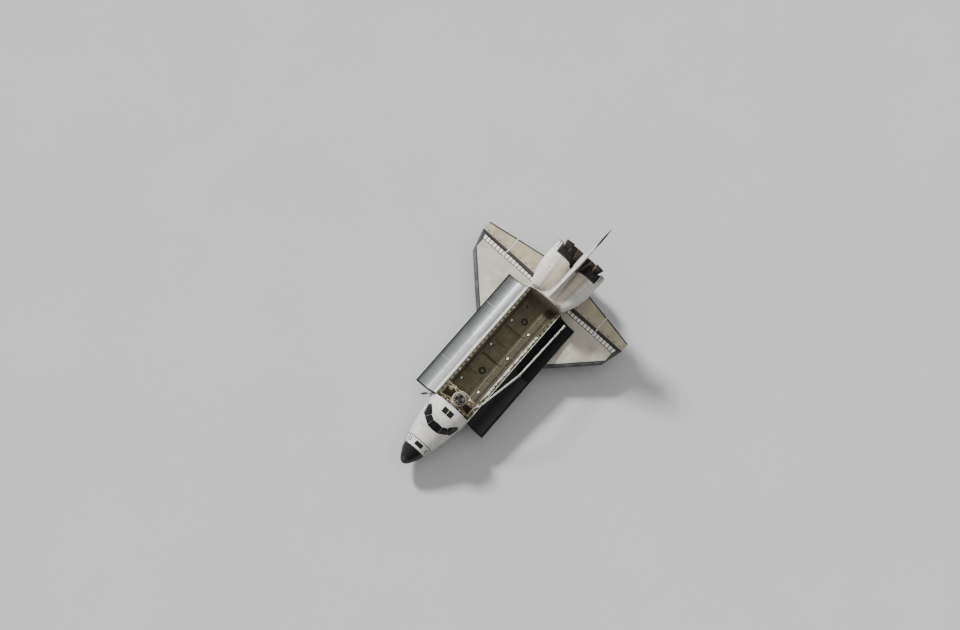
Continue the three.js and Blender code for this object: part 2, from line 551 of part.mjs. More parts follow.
add("body_flap", prism("y", [...arc(240, 90, 270, 8, flapPoint[0], flapPoint[2] + 40),
  [sta(1613), flapPoint[2] - 60], [sta(1613), flapPoint[2] + 10]], -FLAP_HALF, FLAP_HALF), "tile");

for (const [side, sign] of sides) {
  const [near, far] = [sign * (DOORS_BELOW.in + 8), sign * (DOORS_BELOW.out - 8)];
  add(`belly_door_${side}`, box(DOORS_BELOW.from + 8, DOORS_BELOW.to - 8, Math.min(near, far),
    Math.max(near, far), wat(273), wat(273) + 70), "tile");
}

// Bells: radius and distance from the gimbal, outside then inside, as shares of exit and length
const BELL = [[0.19, 0.17], [0.25, 0.26], [0.42, 0.4], [0.62, 0.55], [0.8, 0.72], [0.93, 0.88], [1, 1]];
function bell(engine, exit, length, wall) {
  const outside = BELL.map(([r, d]) => [r * exit, d * length]);
  const inside = BELL.slice(1).map(([r, d]) => [r * exit - wall, d * length]).reverse();
  return turned([[0, BELL[0][1] * length], ...outside, ...inside, [0, BELL[1][1] * length + wall]],
    [engine.x, engine.y, engine.z], thrustAxis(engine), 22);
}
for (const engine of ENGINES) {
  add(`main_engine_${engine.name}`, bell(engine, but(45.35), ENGINE_LENGTH, 60), "bell", 0.45, 0.6);
}
for (const engine of MANOEUVRE) {
  add(`manoeuvring_engine_${engine.name}`, bell(engine, but(22.5), but(80), 40), "bell", 0.45, 0.6);
}

// Landing gear: a leg with a bored hub, and twin wheels on one axle through it
const AXLE = 58;
function twinWheels({ radius, width, track, x, z }, y) {
  const profile = [[0, 0], [radius * 0.5, 0], [radius * 0.58, width * 0.06], [radius * 0.94, width * 0.05],
    [radius, width * 0.22], [radius, width * 0.78], [radius * 0.94, width * 0.95],
    [radius * 0.58, width * 0.94], [radius * 0.5, width], [0, width]];
  const wheel = (from) => turned(profile, [x, from, z], [0, 1, 0], 26);
  return join(wheel(y - (track + width) / 2), wheel(y + (track - width) / 2),
    rod([x, y - track / 2, z], [x, y + track / 2, z], AXLE, AXLE, 20));
}
const hub = ({ x, z }, y, radius, half) => rod([x, y - half, z], [x, y + half, z], radius, radius, 20);
const axleBore = ({ x, z }, y) => rod([x, y - 400, z], [x, y + 400, z], AXLE + 5, AXLE + 5, 20);
const forkTop = NOSE_TYRE.z + 620;
const noseLegTop = NOSE_WELL.roof - GAP;
const above = (level) => box(0, 40000, -9000, 9000, level, level + 900);
add("nose_gear_leg", cut(join(
  rod([NOSE_TYRE.x - 60, 0, noseLegTop + 60], [NOSE_TYRE.x, 0, forkTop - 40], 125, 105),
  rod([NOSE_WELL.to - 200, 0, noseLegTop + 60], [NOSE_TYRE.x, 0, forkTop + 220], 55, 55, 8)),
above(noseLegTop), box(0, 9000, -900, 900, -9000, forkTop)), "metal", 0.4, 0.6);
add("nose_gear_fork", cut(join(
  rod([NOSE_TYRE.x, 0, forkTop - 3], [NOSE_TYRE.x, 0, NOSE_TYRE.z], 72),
  hub(NOSE_TYRE, 0, 100, 50)), axleBore(NOSE_TYRE, 0)), "metal", 0.3, 0.8);
add("nose_wheels", twinWheels(NOSE_TYRE, 0), "rubber", 0.85);
for (const [side, sign] of sides) {
  const y = sign * MAIN_TYRE.y;
  const top = GEAR_WELL.roof - GAP;
  add(`main_gear_leg_${side}`, cut(join(
    rod([MAIN_TYRE.x, y, top + 40], [MAIN_TYRE.x, y, MAIN_TYRE.z + 560], 175, 165),
    rod([MAIN_TYRE.x, y, MAIN_TYRE.z + 600], [MAIN_TYRE.x, y, MAIN_TYRE.z], 98),
    rod([GEAR_WELL.from + 260, y, top + 60], [MAIN_TYRE.x - 40, y, MAIN_TYRE.z + 700], 70, 70, 8),
    hub(MAIN_TYRE, y, 120, 100)), axleBore(MAIN_TYRE, y), above(top)), "metal", 0.4, 0.6);
  add(`main_wheels_${side}`, twinWheels(MAIN_TYRE, y), "rubber", 0.85);
  // The doors hang open from the outer edges of their wells.
  const edge = sign * (GEAR_WELL.out - 15);
  const belly = wat(281);
  add(`main_gear_door_${side}`, prism("x", [[edge, belly + 90], [edge - sign * 80, belly + 90],
    [edge - sign * 80, belly - 140], [edge + sign * 40, belly - 1480],
    [edge + sign * 115, belly - 1480], [edge, belly - 140]],
  GEAR_WELL.from + 30, GEAR_WELL.to - 30), "tile");
  const jamb = sign * (NOSE_WELL.half - 12);
  add(`nose_gear_door_${side}`, prism("x", [[jamb, wat(296)], [jamb - sign * 60, wat(296)],
    [jamb - sign * 60, wat(252)], [jamb, wat(252)]],
  NOSE_WELL.from + 30, NOSE_WELL.to - 30), "tile");
}

// Handling arm on the port sill, as flown: cradle rolled out, shoulder swung and raised, elbow bent
const ARM = {
  rollX: sta(679.5), rollY: -2324, rollZ: 489, rise: 648, roll: 19.48, yaw: 4.6, pitch: 17.5, elbow: 24.6,
  upper: 6400, lower: 7061, wristPitch: 457, wristYaw: 762, hand: 660, radius: 128,
};
const armUp = new THREE.Vector3(0, -Math.sin(rad(ARM.roll)), Math.cos(rad(ARM.roll)));
const armOut = new THREE.Vector3(0, -Math.cos(rad(ARM.roll)), -Math.sin(rad(ARM.roll)));
const armAft = new THREE.Vector3(1, 0, 0).multiplyScalar(Math.cos(rad(ARM.yaw)))
  .addScaledVector(armOut, Math.sin(rad(ARM.yaw)));
const armHinge = new THREE.Vector3().crossVectors(armUp, armAft).normalize();
const armLine = (degrees) => armAft.clone().multiplyScalar(Math.cos(rad(degrees)))
  .addScaledVector(armUp, Math.sin(rad(degrees)));
const from = (point, direction, distance) => point.clone().addScaledVector(direction, distance);
const armFoot = new THREE.Vector3(ARM.rollX, ARM.rollY, ARM.rollZ);
const shoulder = from(armFoot, armUp, ARM.rise);
const upperLine = armLine(ARM.pitch);
const lowerLine = armLine(ARM.pitch - ARM.elbow);
const elbow = from(shoulder, upperLine, ARM.upper);
const wristA = from(elbow, lowerLine, ARM.lower);
const wristB = from(wristA, lowerLine, ARM.wristPitch);
const wristC = from(wristB, lowerLine, ARM.wristYaw);
const handEnd = from(wristC, lowerLine, ARM.hand);
const wristUp = armLine(ARM.pitch - ARM.elbow + 90);
const bar = (a, b, r, facets = 12) => rod(a.toArray(), b.toArray(), r, r, facets);
// Necks at the wrist joints: reach along the arm and radius, narrow enough to fold by 120 degrees
const NECK = { near: 122, nearRadius: 66, far: 205 };
const neck = (joint, line, side, radius) => rod(from(joint, line, side * NECK.near).toArray(),
  from(joint, line, side * NECK.far).toArray(), NECK.nearRadius, radius, 14);
const drum = (at, axis, half, r) => bar(from(at, axis, -half), from(at, axis, half), r, 16);
const bearing = 10;

add("arm_foot", join(bar(from(armFoot, new THREE.Vector3(1, 0, 0), -330),
  from(armFoot, new THREE.Vector3(1, 0, 0), 330), 82),
bar(armFoot, from(armFoot, armUp, 330), 105)), "white");
add("arm_shoulder", join(bar(from(armFoot, armUp, 330 + bearing), from(shoulder, armUp, -142), 125),
  bar(from(shoulder, armUp, -200), shoulder, 52),
  drum(shoulder, armHinge, 56, 104)), "blanket");
add("arm_upper", cut(join(
  ...[-1, 1].map((s) => drum(from(shoulder, armHinge, s * (56 + bearing + 26)), armHinge, 26, 114)),
  bar(from(shoulder, upperLine, 175), from(elbow, upperLine, -170), ARM.radius, 14),
  ...[-1, 1].map((s) => bar(from(shoulder, armHinge, s * 92),
    from(from(shoulder, armHinge, s * 56), upperLine, 300), 38, 8)),
  drum(elbow, armHinge, 50, 104),
  bar(from(elbow, upperLine, -240), elbow, 50)), drum(shoulder, armHinge, 56 + bearing, 140)), "white");
add("arm_lower", cut(join(
  ...[-1, 1].map((s) => drum(from(elbow, armHinge, s * (50 + bearing + 25)), armHinge, 25, 110)),
  bar(from(elbow, lowerLine, 190), from(wristA, lowerLine, -NECK.far), ARM.radius - 8, 14),
  neck(wristA, lowerLine, -1, ARM.radius - 8),
  ...[-1, 1].map((s) => bar(from(elbow, armHinge, s * 85),
    from(from(elbow, armHinge, s * 52), lowerLine, 320), 36, 8)),
  drum(wristA, armHinge, 50, 112), bar(from(wristA, lowerLine, -200), wristA, 48)),
drum(elbow, armHinge, 50 + bearing, 140)), "white");
const clevis = (at, axis, half, line, reach) => [-1, 1].flatMap((s) => [
  drum(from(at, axis, s * (half + bearing + 25)), axis, 25, 104),
  bar(from(at, axis, s * (half + bearing + 25)), from(from(at, axis, s * 40), line, reach), 34, 8)]);
add("arm_wrist_pitch", cut(join(...clevis(wristA, armHinge, 50, lowerLine, 200),
  bar(from(wristA, lowerLine, NECK.far), from(wristB, lowerLine, -NECK.far), 108, 14),
  neck(wristA, lowerLine, 1, 108), neck(wristB, lowerLine, -1, 108),
  bar(from(wristB, lowerLine, -200), wristB, 46),
  drum(wristB, wristUp, 50, 100)), drum(wristA, armHinge, 50 + bearing, 128)), "white");
add("arm_wrist_yaw", cut(join(...clevis(wristB, wristUp, 50, lowerLine, 200),
  neck(wristB, lowerLine, 1, 116),
  bar(from(wristB, lowerLine, NECK.far), from(wristC, lowerLine, -bearing / 2), 116, 14)),
drum(wristB, wristUp, 50 + bearing, 128)), "white");
add("arm_hand", cut(join(bar(from(wristC, lowerLine, bearing / 2), from(wristC, lowerLine, 320), 112),
  bar(from(wristC, lowerLine, 300), handEnd, 160, 20)),
bar(from(handEnd, lowerLine, -230), from(handEnd, lowerLine, 40), 125, 20)), "blanket");

// Dish antenna on the starboard sill, swung out ahead of the door
const DISH = { x: BAY_FRONT + 72, y: 2470, z: 720, elbowX: BAY_FRONT + 12, elbowY: 2960, radius: 457,
  endX: sta(548), endY: but(143.5), endZ: 935 };
const dishEnd = [DISH.endX, DISH.endY, DISH.endZ];
const dishAxis = new THREE.Vector3(DISH.endX - DISH.elbowX, DISH.endY - DISH.elbowY, 0).normalize();
const dishSide = new THREE.Vector3(dishAxis.y, -dishAxis.x, 0);
add("dish_antenna", join(
  rod([DISH.x, DISH.y, sillBase + 80], [DISH.x, DISH.y, DISH.z + 60], 60, 60, 12),
  rod([DISH.x, DISH.y, DISH.z], [DISH.elbowX, DISH.elbowY, DISH.z], 50, 50, 10),
  rod([DISH.elbowX, DISH.elbowY, DISH.z], dishEnd, 60, 50, 10),
  turned([[0, -20], [160, -10], [320, 60], [DISH.radius, 170], [DISH.radius, 190], [320, 90], [120, 20],
    [40, 14], [30, 250], [0, 250]], dishEnd, dishSide.toArray(), 24)), "blanket", 0.5);

// Stood on its wheels: the axles' line is tipped until both tyres meet level ground.
const run = MAIN_TYRE.x - NOSE_TYRE.x;
const drop = NOSE_TYRE.z - MAIN_TYRE.z;
const lean = Math.asin((MAIN_TYRE.radius - NOSE_TYRE.radius) / Math.hypot(run, drop))
  + Math.atan2(drop, run);
const craft = new THREE.Group();
craft.add(...pieces);
craft.rotation.y = -lean;
const stand = new THREE.Group();
stand.add(craft);
const extent = new THREE.Box3().setFromObject(stand, true);
const middle = extent.getCenter(new THREE.Vector3());
stand.position.set(-middle.x, -middle.y, -extent.min.z);

export default stand;
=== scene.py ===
import json
import random
from math import cos, hypot, pi, radians, sin, sqrt

import bpy
from bpy.props import FloatProperty, FloatVectorProperty, PointerProperty
from mathutils import Matrix, Vector
from mathutils.bvhtree import BVHTree

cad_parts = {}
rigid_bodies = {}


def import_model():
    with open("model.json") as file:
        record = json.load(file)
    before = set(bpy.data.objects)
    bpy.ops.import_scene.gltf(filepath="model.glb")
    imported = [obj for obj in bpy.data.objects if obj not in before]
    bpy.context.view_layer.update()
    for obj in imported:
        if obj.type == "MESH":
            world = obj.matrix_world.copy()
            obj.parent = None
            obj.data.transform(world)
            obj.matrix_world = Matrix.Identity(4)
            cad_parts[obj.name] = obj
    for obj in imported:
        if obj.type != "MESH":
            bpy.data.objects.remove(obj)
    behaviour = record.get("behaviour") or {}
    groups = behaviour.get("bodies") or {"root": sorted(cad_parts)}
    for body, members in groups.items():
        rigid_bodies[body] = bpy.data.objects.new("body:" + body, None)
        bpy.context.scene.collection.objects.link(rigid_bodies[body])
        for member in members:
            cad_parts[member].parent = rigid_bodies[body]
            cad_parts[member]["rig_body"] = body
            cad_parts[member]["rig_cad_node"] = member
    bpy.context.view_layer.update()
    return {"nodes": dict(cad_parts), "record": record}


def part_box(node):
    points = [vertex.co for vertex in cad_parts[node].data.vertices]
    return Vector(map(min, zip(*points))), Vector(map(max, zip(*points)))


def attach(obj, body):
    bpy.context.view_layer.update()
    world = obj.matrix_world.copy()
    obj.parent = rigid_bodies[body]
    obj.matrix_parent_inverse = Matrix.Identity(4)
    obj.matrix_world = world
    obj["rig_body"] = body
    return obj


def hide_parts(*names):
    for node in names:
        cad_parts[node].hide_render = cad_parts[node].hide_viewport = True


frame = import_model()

bl_info = {
    "name": "Winged orbiter dress",
    "version": (1, 0, 0),
    "blender": (4, 5, 0),
    "location": "View3D > Sidebar > Orbiter",
    "description": "Finishes and fine pieces of a winged orbiter standing on its landing gear",
    "category": "Object",
}

NODES = frame["nodes"]
INCH = 0.0254

# The orbiter is drawn in stations (aft), buttock lines (starboard) and waterlines (up), all in
# inches. It leans nose-down on its gear; its main wheel hub ties the drawing to the frame.
LEAN = 0.0661225
HUB = Vector((1173, -136, 191))
hub_low, hub_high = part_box("main_wheels_port")
TURN = Matrix.Rotation(-LEAN, 3, "Y")
DATUM = Vector((236, 0, 400))
ORIGIN = (hub_low + hub_high) / 2 - TURN @ (HUB - DATUM) * INCH
SIDES = (("port", -1), ("starboard", 1))


def at(station, out, level):
    """The place in the frame, in metres, of a point of the drawing."""
    return ORIGIN + TURN @ (Vector((station, out, level)) - DATUM) * INCH


def along(direction):
    """The frame's direction of a drawing direction."""
    return (TURN @ Vector(direction)).normalized()


AFT, UP = along((1, 0, 0)), along((0, 0, 1))


def rolled(angle, axis):
    """The drawing's turn, turned on by an angle about one of its axes."""
    return TURN @ Matrix.Rotation(angle, 3, axis)


def shift(inches):
    """A move aft by inches of the drawing."""
    return Matrix.Translation(AFT * inches * INCH)


def paint(colour):
    """Linear colour of an sRGB hex code such as "c8c4b8"; any other colour stays as it is."""
    if not isinstance(colour, str):
        return colour
    parts = [int(colour[i:i + 2], 16) / 255 for i in (0, 2, 4)]
    return [c / 12.92 if c <= 0.04045 else ((c + 0.055) / 1.055) ** 2.4 for c in parts] + [1.0]


# ---- shader values
def feed(node, key, value):
    """Gives a node's input a value, or joins another node's output to it."""
    value = value.socket if isinstance(value, Signal) else value
    if isinstance(value, bpy.types.NodeSocket):
        node.id_data.links.new(value, node.inputs[key])
    else:
        node.inputs[key].default_value = value


def add_node(tree, kind, inputs=None, **settings):
    """Adds one node; each input is a value, or another node's output to join to it."""
    node = tree.nodes.new(kind)
    for key, value in settings.items():
        setattr(node, key, value)
    for key, value in (inputs or {}).items():
        feed(node, key, value)
    return node


class Signal:
    """A shader's number or colour; sums, comparisons and tints of it add nodes."""

    def __init__(self, tree, socket):
        self.tree, self.socket = tree, socket

    def math(self, operation, *others):
        node = add_node(self.tree, "ShaderNodeMath", dict(enumerate((self, *others))),
                        operation=operation)
        return Signal(self.tree, node.outputs[0])

    def __add__(self, other):
        return self.math("ADD", other)

    def __sub__(self, other):
        return self.math("SUBTRACT", other)

    def __rsub__(self, other):
        return self * -1.0 + other

    def __mul__(self, other):
        return self.math("MULTIPLY", other)

    def __or__(self, other):
        return self.math("MAXIMUM", other)

    def __lt__(self, other):
        return self.math("LESS_THAN", other)

    def __gt__(self, other):
        return self.math("GREATER_THAN", other)

    def __abs__(self):
        return self.math("ABSOLUTE")

    def over(self, share, colour, blend="MIX"):
        """This, with another colour or value laid over it by share."""
        node = add_node(self.tree, "ShaderNodeMix", data_type="RGBA", blend_type=blend,
                        inputs={0: share, 6: self, 7: paint(colour)})
        return Signal(self.tree, node.outputs[2])

    def ramp(self, *stops):
        """A colour ramp over this; each stop is a place and a colour."""
        node = add_node(self.tree, "ShaderNodeValToRGB", {0: self})
        points = node.color_ramp.elements
        while len(points) < len(stops):
            points.new(0.5)
        for point, (place, colour) in zip(points, stops):
            point.position = place
            point.color = paint(colour)
        return Signal(self.tree, node.outputs[0])


def noise_of(tree, vector, scale, detail=4.0, rough=0.55):
    return Signal(tree, add_node(tree, "ShaderNodeTexNoise", {
        "Vector": vector, "Scale": scale, "Detail": detail, "Roughness": rough}).outputs[0])


def parts_of(tree, vector):
    return [Signal(tree, part) for part in add_node(tree, "ShaderNodeSeparateXYZ",
                                                    {0: vector}).outputs]


class Drawing:
    """Station, buttock line and waterline of the shaded point, and the surface's direction."""

    def __init__(self, material):
        self.tree = tree = material.node_tree
        self.shader = next(node for node in tree.nodes if node.type == "BSDF_PRINCIPLED")
        coordinate = add_node(tree, "ShaderNodeTexCoord").outputs
        self.vector = add_node(tree, "ShaderNodeMapping", {
            "Vector": coordinate["Object"], "Location": DATUM - TURN.transposed() @ ORIGIN / INCH,
            "Rotation": (0, LEAN, 0), "Scale": (1 / INCH,) * 3}).outputs[0]
        self.x, self.y, self.z = parts_of(tree, self.vector)
        self.aft, sideways, self.up = parts_of(tree, coordinate["Normal"])
        self.out = abs(self.y)
        on_side = abs(sideways) > 0.7
        self.girth = on_side * self.z + (1.0 - on_side) * self.y

    def noise(self, scale, detail=4.0, rough=0.55):
        return noise_of(self.tree, self.vector, scale, detail, rough)

    def box(self, **ranges):
        """1 inside the given ranges of x, y, z and out."""
        result = None
        for name, (low, high) in ranges.items():
            inside = getattr(self, name).math("COMPARE", (low + high) / 2, (high - low) / 2)
            result = result * inside if result else inside
        return result

    def outline(self, corners, z):
        """1 inside a convex outline of (station, distance out) corners, seen from above."""
        result = self.box(z=z)
        middle = [sum(c[k] for c in corners) / len(corners) for k in (0, 1)]
        for (x0, y0), (x1, y1) in zip(corners, corners[1:] + corners[:1]):
            nx, ny = y1 - y0, x0 - x1
            limit = nx * x0 + ny * y0
            if nx * middle[0] + ny * middle[1] > limit:
                nx, ny, limit = -nx, -ny, -limit
            result = result * (self.x * nx + self.out * ny < limit)
        return result

    def seams(self, value, pitch, width, start=0.0):
        """1 on lines of that width, one every pitch."""
        return (value + start).math("PINGPONG", pitch / 2) < width / 2

    def grid(self, across, pitch, width, wide=None):
        """1 on lines along and across; wide is the pitch across where it differs."""
        return self.seams(self.x, pitch, width) | self.seams(across, wide or pitch, width)

    def soft_seams(self, value, pitch, power=8.0):
        """Rises smoothly to 1 at lines one every pitch."""
        fold = value.math("PINGPONG", pitch / 2) * (2 / pitch)
        return (1.0 - fold).math("POWER", power)

    def patches(self, across, pitch, wide=None):
        """A random grey from 0 to 1 for each tile or panel."""
        cell = add_node(self.tree, "ShaderNodeCombineXYZ", {
            0: self.x.math("DIVIDE", pitch).math("FLOOR"),
            1: across.math("DIVIDE", wide or pitch).math("FLOOR")}).outputs[0]
        return Signal(self.tree, add_node(self.tree, "ShaderNodeTexWhiteNoise",
                                          {"Vector": cell}).outputs["Value"])

    def finish(self, colour, rough, height=None, depth=0.0):
        """Joins colour, roughness and a height that raises the surface by depth metres."""
        feed(self.shader, "Base Color", colour)
        feed(self.shader, "Roughness", rough)
        if height:
            bump = add_node(self.tree, "ShaderNodeBump", {"Height": height, "Distance": depth,
                                                          "Strength": 1.0})
            feed(self.shader, "Normal", bump.outputs[0])


FINISHES = {}


def new_finish(name, **fixed):
    """A new material with its shader's constant sockets set, ready to be drawn on."""
    material = FINISHES[name] = bpy.data.materials.new(name)
    material.use_nodes = True
    tree = material.node_tree
    tree.nodes.clear()
    shader = add_node(tree, "ShaderNodeBsdfPrincipled")
    for key, value in fixed.items():
        shader.inputs[key.replace("_", " ")].default_value = value
    add_node(tree, "ShaderNodeOutputMaterial", {"Surface": shader.outputs[0]})
    return Drawing(material)


def shade_over(name, share_of, tint, blend="MIX"):
    """Lays one more tint over a finish, where share_of(drawing) says."""
    d = Drawing(FINISHES[name])
    under = Signal(d.tree, d.shader.inputs["Base Color"].links[0].from_socket)
    feed(d.shader, "Base Color", under.over(share_of(d), tint, blend))


def skin_finish(name, colours, zones, tile=26, seam=0.35, depth=0.006):
    """Silica blankets, matt off-white, softly quilted and stained; black-coated silica tiles with
    pale joints where the skin faces down and in zones(drawing)."""
    d = new_finish(name, Specular_IOR_Level=0.3)
    low, high, stain = colours
    share = d.patches(d.girth, tile) * 0.35 + d.noise(0.02, 5) * 0.65
    lines = d.grid(d.girth, tile, seam)
    quilt = d.soft_seams(d.x, 2.6) | d.soft_seams(d.girth, 2.6)
    white = share.ramp((0.3, low), (0.7, high)).over(d.noise(0.006, 6, 0.65) * 0.35, stain)
    white = white.over(lines * 0.45, "6f6c64")
    joints = d.grid(d.girth, *TILE)
    black = d.patches(d.girth, TILE[0]).ramp((0.0, "0b0b0b"), (1.0, "191818"))
    dark = d.up < -0.35
    for zone in zones(d):
        dark = dark | zone
    d.finish(white.over(dark, black.over(joints, "333331")), dark * -0.35 + 0.7,
             (quilt * -0.25 - lines).over(dark, joints * -1.0), depth)


# Pitches and widths of patterns are in inches of the drawing, 25.4 mm each. Those too fine to
# show at 8 pixels to the metre, such as quilting, seams and scratches, are drawn coarser.
# Pitch and joint of the black tiles, 152 mm square
TILE = (6, 0.22)


def belly_zones(d):
    """Black tiles below the chine, which climbs towards the nose."""
    return [d.z * -1.0 > d.x * 0.068 - 350.0]


def nose_zones(d):
    """The nose band, the thrusters' plates, the window frames and two sensors."""
    panes = ([(443, -1), (446, 33), (480, 31), (482, -1)],
             [(447, 33), (469, 70), (495, 55), (482, 28)],
             [(470, 68), (480, 86), (528, 97), (536, 86), (499, 52)])
    return [*belly_zones(d), d.x < 326, (d.x < 373) * d.box(z=(0, 352)),
            d.box(x=(366.5, 370.5), z=(320, 480)), d.box(x=(338, 360), y=(-23, 21), z=(400, 480)),
            *(d.outline(corners, (418, 495)) for corners in panes),
            *(d.box(x=(x - 1.6, x + 1.6), out=(y - 1.6, y + 1.6), z=(400, 480))
              for x, y in ((425, 42), (421, 78))),
            d.box(x=(534, 565), out=(1, 30), z=(480, 520))]


# Distance out and station along the wing's leading edge, and the width of its grey border
LEADING_EDGE = [(119, 600), (185, 1022), (300, 1137), (432, 1272), (466, 1392)]
EDGE_BORDER = 17


def wing_finish(name, elevon):
    """Felt with a matt cream coating above and a barred strip ahead of the elevons; below,
    black-coated silica tiles."""
    d = new_finish(name)
    share = d.patches(d.y, 30) * 0.3 + d.noise(0.012, 6, 0.6) * 0.7
    low, high = ("a89f86", "c2b89c") if elevon else ("b9b3a2", "d0cbbb")
    lines = d.grid(d.y, 30, 0.5)
    top = share.ramp((0.3, low), (0.7, high)).over(lines * 0.35, "77746b")
    if elevon:
        top = top.over(1.0 - (d.x > 1395.0), "3a3935")
        top = top.over(d.x > d.out * -0.178 + 1519.0, "1d1d1e")
    else:
        strip = d.box(x=(1351, 1380))
        rim = d.seams(d.out, 21, 4.4) | (1.0 - d.box(x=(1354.5, 1376.5)))
        top = top.over(strip, "f0ede4").over(strip * rim, "131312")
        top = top.over(d.box(x=(1380, 1400)), "38362f")
        # A grey border follows the leading edge, with a dark line inside it
        for width, tint in ((EDGE_BORDER + 4, "2a2a2b"), (EDGE_BORDER, "45443f")):
            for (y0, x0), (y1, x1) in zip(LEADING_EDGE, LEADING_EDGE[1:]):
                slope = (x1 - x0) / (y1 - y0)
                inner = d.out * slope + (x0 - slope * y0 + width * hypot(1, slope))
                top = top.over(d.box(out=(y0, y1)) * (d.x < inner), tint)
    top = top.over(d.box(x=(1344, 1600), out=(296.8, 303)), "e4e2da")
    # A dark line beside the white line between the elevons: a painted shadow
    top = top.over(d.box(x=(1344, 1600), out=(303, 304.6)), "22221f")
    joints = d.grid(d.y, *TILE)
    black = d.patches(d.y, TILE[0]).ramp((0.0, "151617"), (1.0, "2a2b2d")).over(joints, "3b3b39")
    below = d.up < 0.0
    d.finish(top.over(below, black), below * -0.3 + 0.7, lines.over(below, joints) * -1.0, 0.005)


def carbon_finishes():
    """Coated carbon composite: dull grey short panels with dark joints on the leading edges,
    darker and plain on the nose."""
    d = new_finish("edge_carbon")
    cloud = d.noise(0.05, 6, 0.6)
    joints = d.seams(d.x, 26, 0.7)
    share = d.patches(d.out, 26, 400) * 0.4 + cloud * 0.6
    d.finish(share.ramp((0.25, "3e3f40"), (0.75, "5b5c5c")).over(joints, "1d1e20"),
             cloud * 0.2 + 0.4, joints * -1.0, 0.006)
    d = new_finish("nose_carbon")
    cloud = d.noise(0.06, 6, 0.6)
    d.finish(cloud.ramp((0.3, "1b1917"), (0.7, "2d2a27")), cloud * 0.2 + 0.48, cloud, 0.002)


# The port door's film is painted near black: painted shade and a painted dark reflection, as that
# door lies in shade
PORT_DOOR = (-300, -100)
PORT_FILM_PAINTED_SHADE, PANEL_LINE, RIM = "232324", "3c3e40", "0e0e0f"


def film_of(d, across, panel):
    """Silvered film in narrow strips over panels, which mirrors softly; greyer outward in painted
    shade, with a darker outer band edged by a pale line, and white along the hinge."""
    tone = d.patches(across, 4, 60)
    share = tone * 0.3 + (d.patches(across, panel, 500) * 0.2 + d.noise(0.03, 5) * 0.5)
    fine, wide = d.seams(d.x, 4, 0.25), d.grid(across, 36, 0.5, 24)
    film = share.ramp((0.2, "9a9c9b"), (0.8, "bcbebc"))
    # Painted shade: the film greys outward and darkens in an outer band, where it turns from the
    # light; a pale line edges that band
    for cover, tint in (((d.out * (1 / 150) - 0.75) * 0.8, "50575a"),
                        (d.box(out=(155, 230)) * 0.6, "4a504f"),
                        (d.box(out=(154, 155.2)) * 0.6, "dadcd8"), (fine * 0.2, "7b7d7e"),
                        (d.box(out=(90, 117)), "f1eee4")):
        film = film.over(cover, tint)
    return film, tone, wide, fine * -0.3 - wide


def film_finishes():
    """The radiators, and the doors with white felt outside and dark seals round the rims."""
    d = new_finish("radiator_film", Metallic=0.35)
    film, tone, wide, height = film_of(d, d.girth, 180)
    # Painted shade: the port radiators' film is near black
    film = film.over(d.box(y=PORT_DOOR), PORT_FILM_PAINTED_SHADE).over(wide * 0.1, PANEL_LINE)
    d.finish(film.over(1.0 - d.box(x=(596, 1400), out=(0, 211)), RIM), tone * 0.06 + 0.52,
             height, 0.003)
    d = new_finish("door_skin")
    film, tone, wide, height = film_of(d, d.y, 182)
    # Painted shade: the port door's film is near black
    film = film.over(wide * 0.1, PANEL_LINE).over(d.box(y=PORT_DOOR), PORT_FILM_PAINTED_SHADE)
    film = film.over(d.box(y=(-106.5, -104.5)), "cdbb8e")
    felt = (d.patches(d.y, 36) * 0.4 + d.noise(0.03, 5) * 0.6).ramp((0.3, "c6c3b8"), (0.7, "dddacf"))
    felt = felt.over(d.seams(d.x, 36, 0.4) * 0.5, "77746b")
    inside = d.up > 0.02
    colour = felt.over(inside, film).over(1.0 - d.box(x=(596, 1297), out=(0, 212)), RIM)
    inside = inside * d.box(x=(591.5, 1298), out=(108.6, 215.2))
    d.finish(colour, inside * -0.2 + 0.75, height, 0.003)
    feed(d.shader, "Metallic", inside * 0.95)


def blanket_finish(name, low, high, seam_colour, pitch, depth, rough=0.75):
    """Quilted cloth or film: matt square pillows between stitched seams, with creases."""
    d = new_finish(name, Sheen_Weight=0.15)
    crease = d.noise(0.35, 5, 0.7)
    share = d.patches(d.girth, pitch * 3) * 0.3 + d.noise(0.035, 6, 0.65) * 0.7
    lines = d.soft_seams(d.x, pitch, 9.0) | d.soft_seams(d.girth, pitch, 9.0)
    d.finish(share.ramp((0.25, low), (0.75, high)).over(lines * 0.8, seam_colour),
             crease * 0.2 + (rough - 0.1), crease * 0.4 - lines, depth)


def metal_finish(name, low, high, rough=0.35, metallic=0.9):
    """Worn metal or paint: cloudy tint, fine scratches."""
    d = new_finish(name, Metallic=metallic)
    fine = d.noise(2.4, 3, 0.7)
    d.finish(d.noise(0.08, 6, 0.6).ramp((0.3, low), (0.7, high)), fine * 0.2 + rough, fine, 0.001)


def cloudy_finishes():
    """Heat-tinted nickel alloy bells, dusty grooved rubber tyres, and glass panes painted near black
    as painted shade of the cabin behind them.
    """
    d = new_finish("bell_metal", Metallic=0.75)
    cloud = d.noise(0.04, 6, 0.65)
    colour = cloud.ramp((0.25, "1d1b18"), (0.6, "39342e"), (0.85, "5a534a"))
    d.finish(colour.over(d.soft_seams(d.x, 19, 5.0) * 0.4, "7a7268"), cloud * 0.25 + 0.35, cloud,
             0.003)
    d = new_finish("tyre_rubber", Specular_IOR_Level=0.35)
    dust = d.noise(0.2, 6, 0.7)
    d.finish(dust.ramp((0.35, "1b1b1b"), (0.8, "3a3835")), dust * 0.25 + 0.65,
             dust * 0.3 - d.soft_seams(d.y, 2.6, 20.0), 0.006)
    # Painted shade: the panes are near black for the dark cabin behind them
    d = new_finish("pane_glass", IOR=1.5, Specular_IOR_Level=0.25)
    cloud = d.noise(0.05, 3)
    d.finish(cloud.ramp((0.3, "08090a"), (0.7, "14181a")), cloud * 0.08 + 0.16)


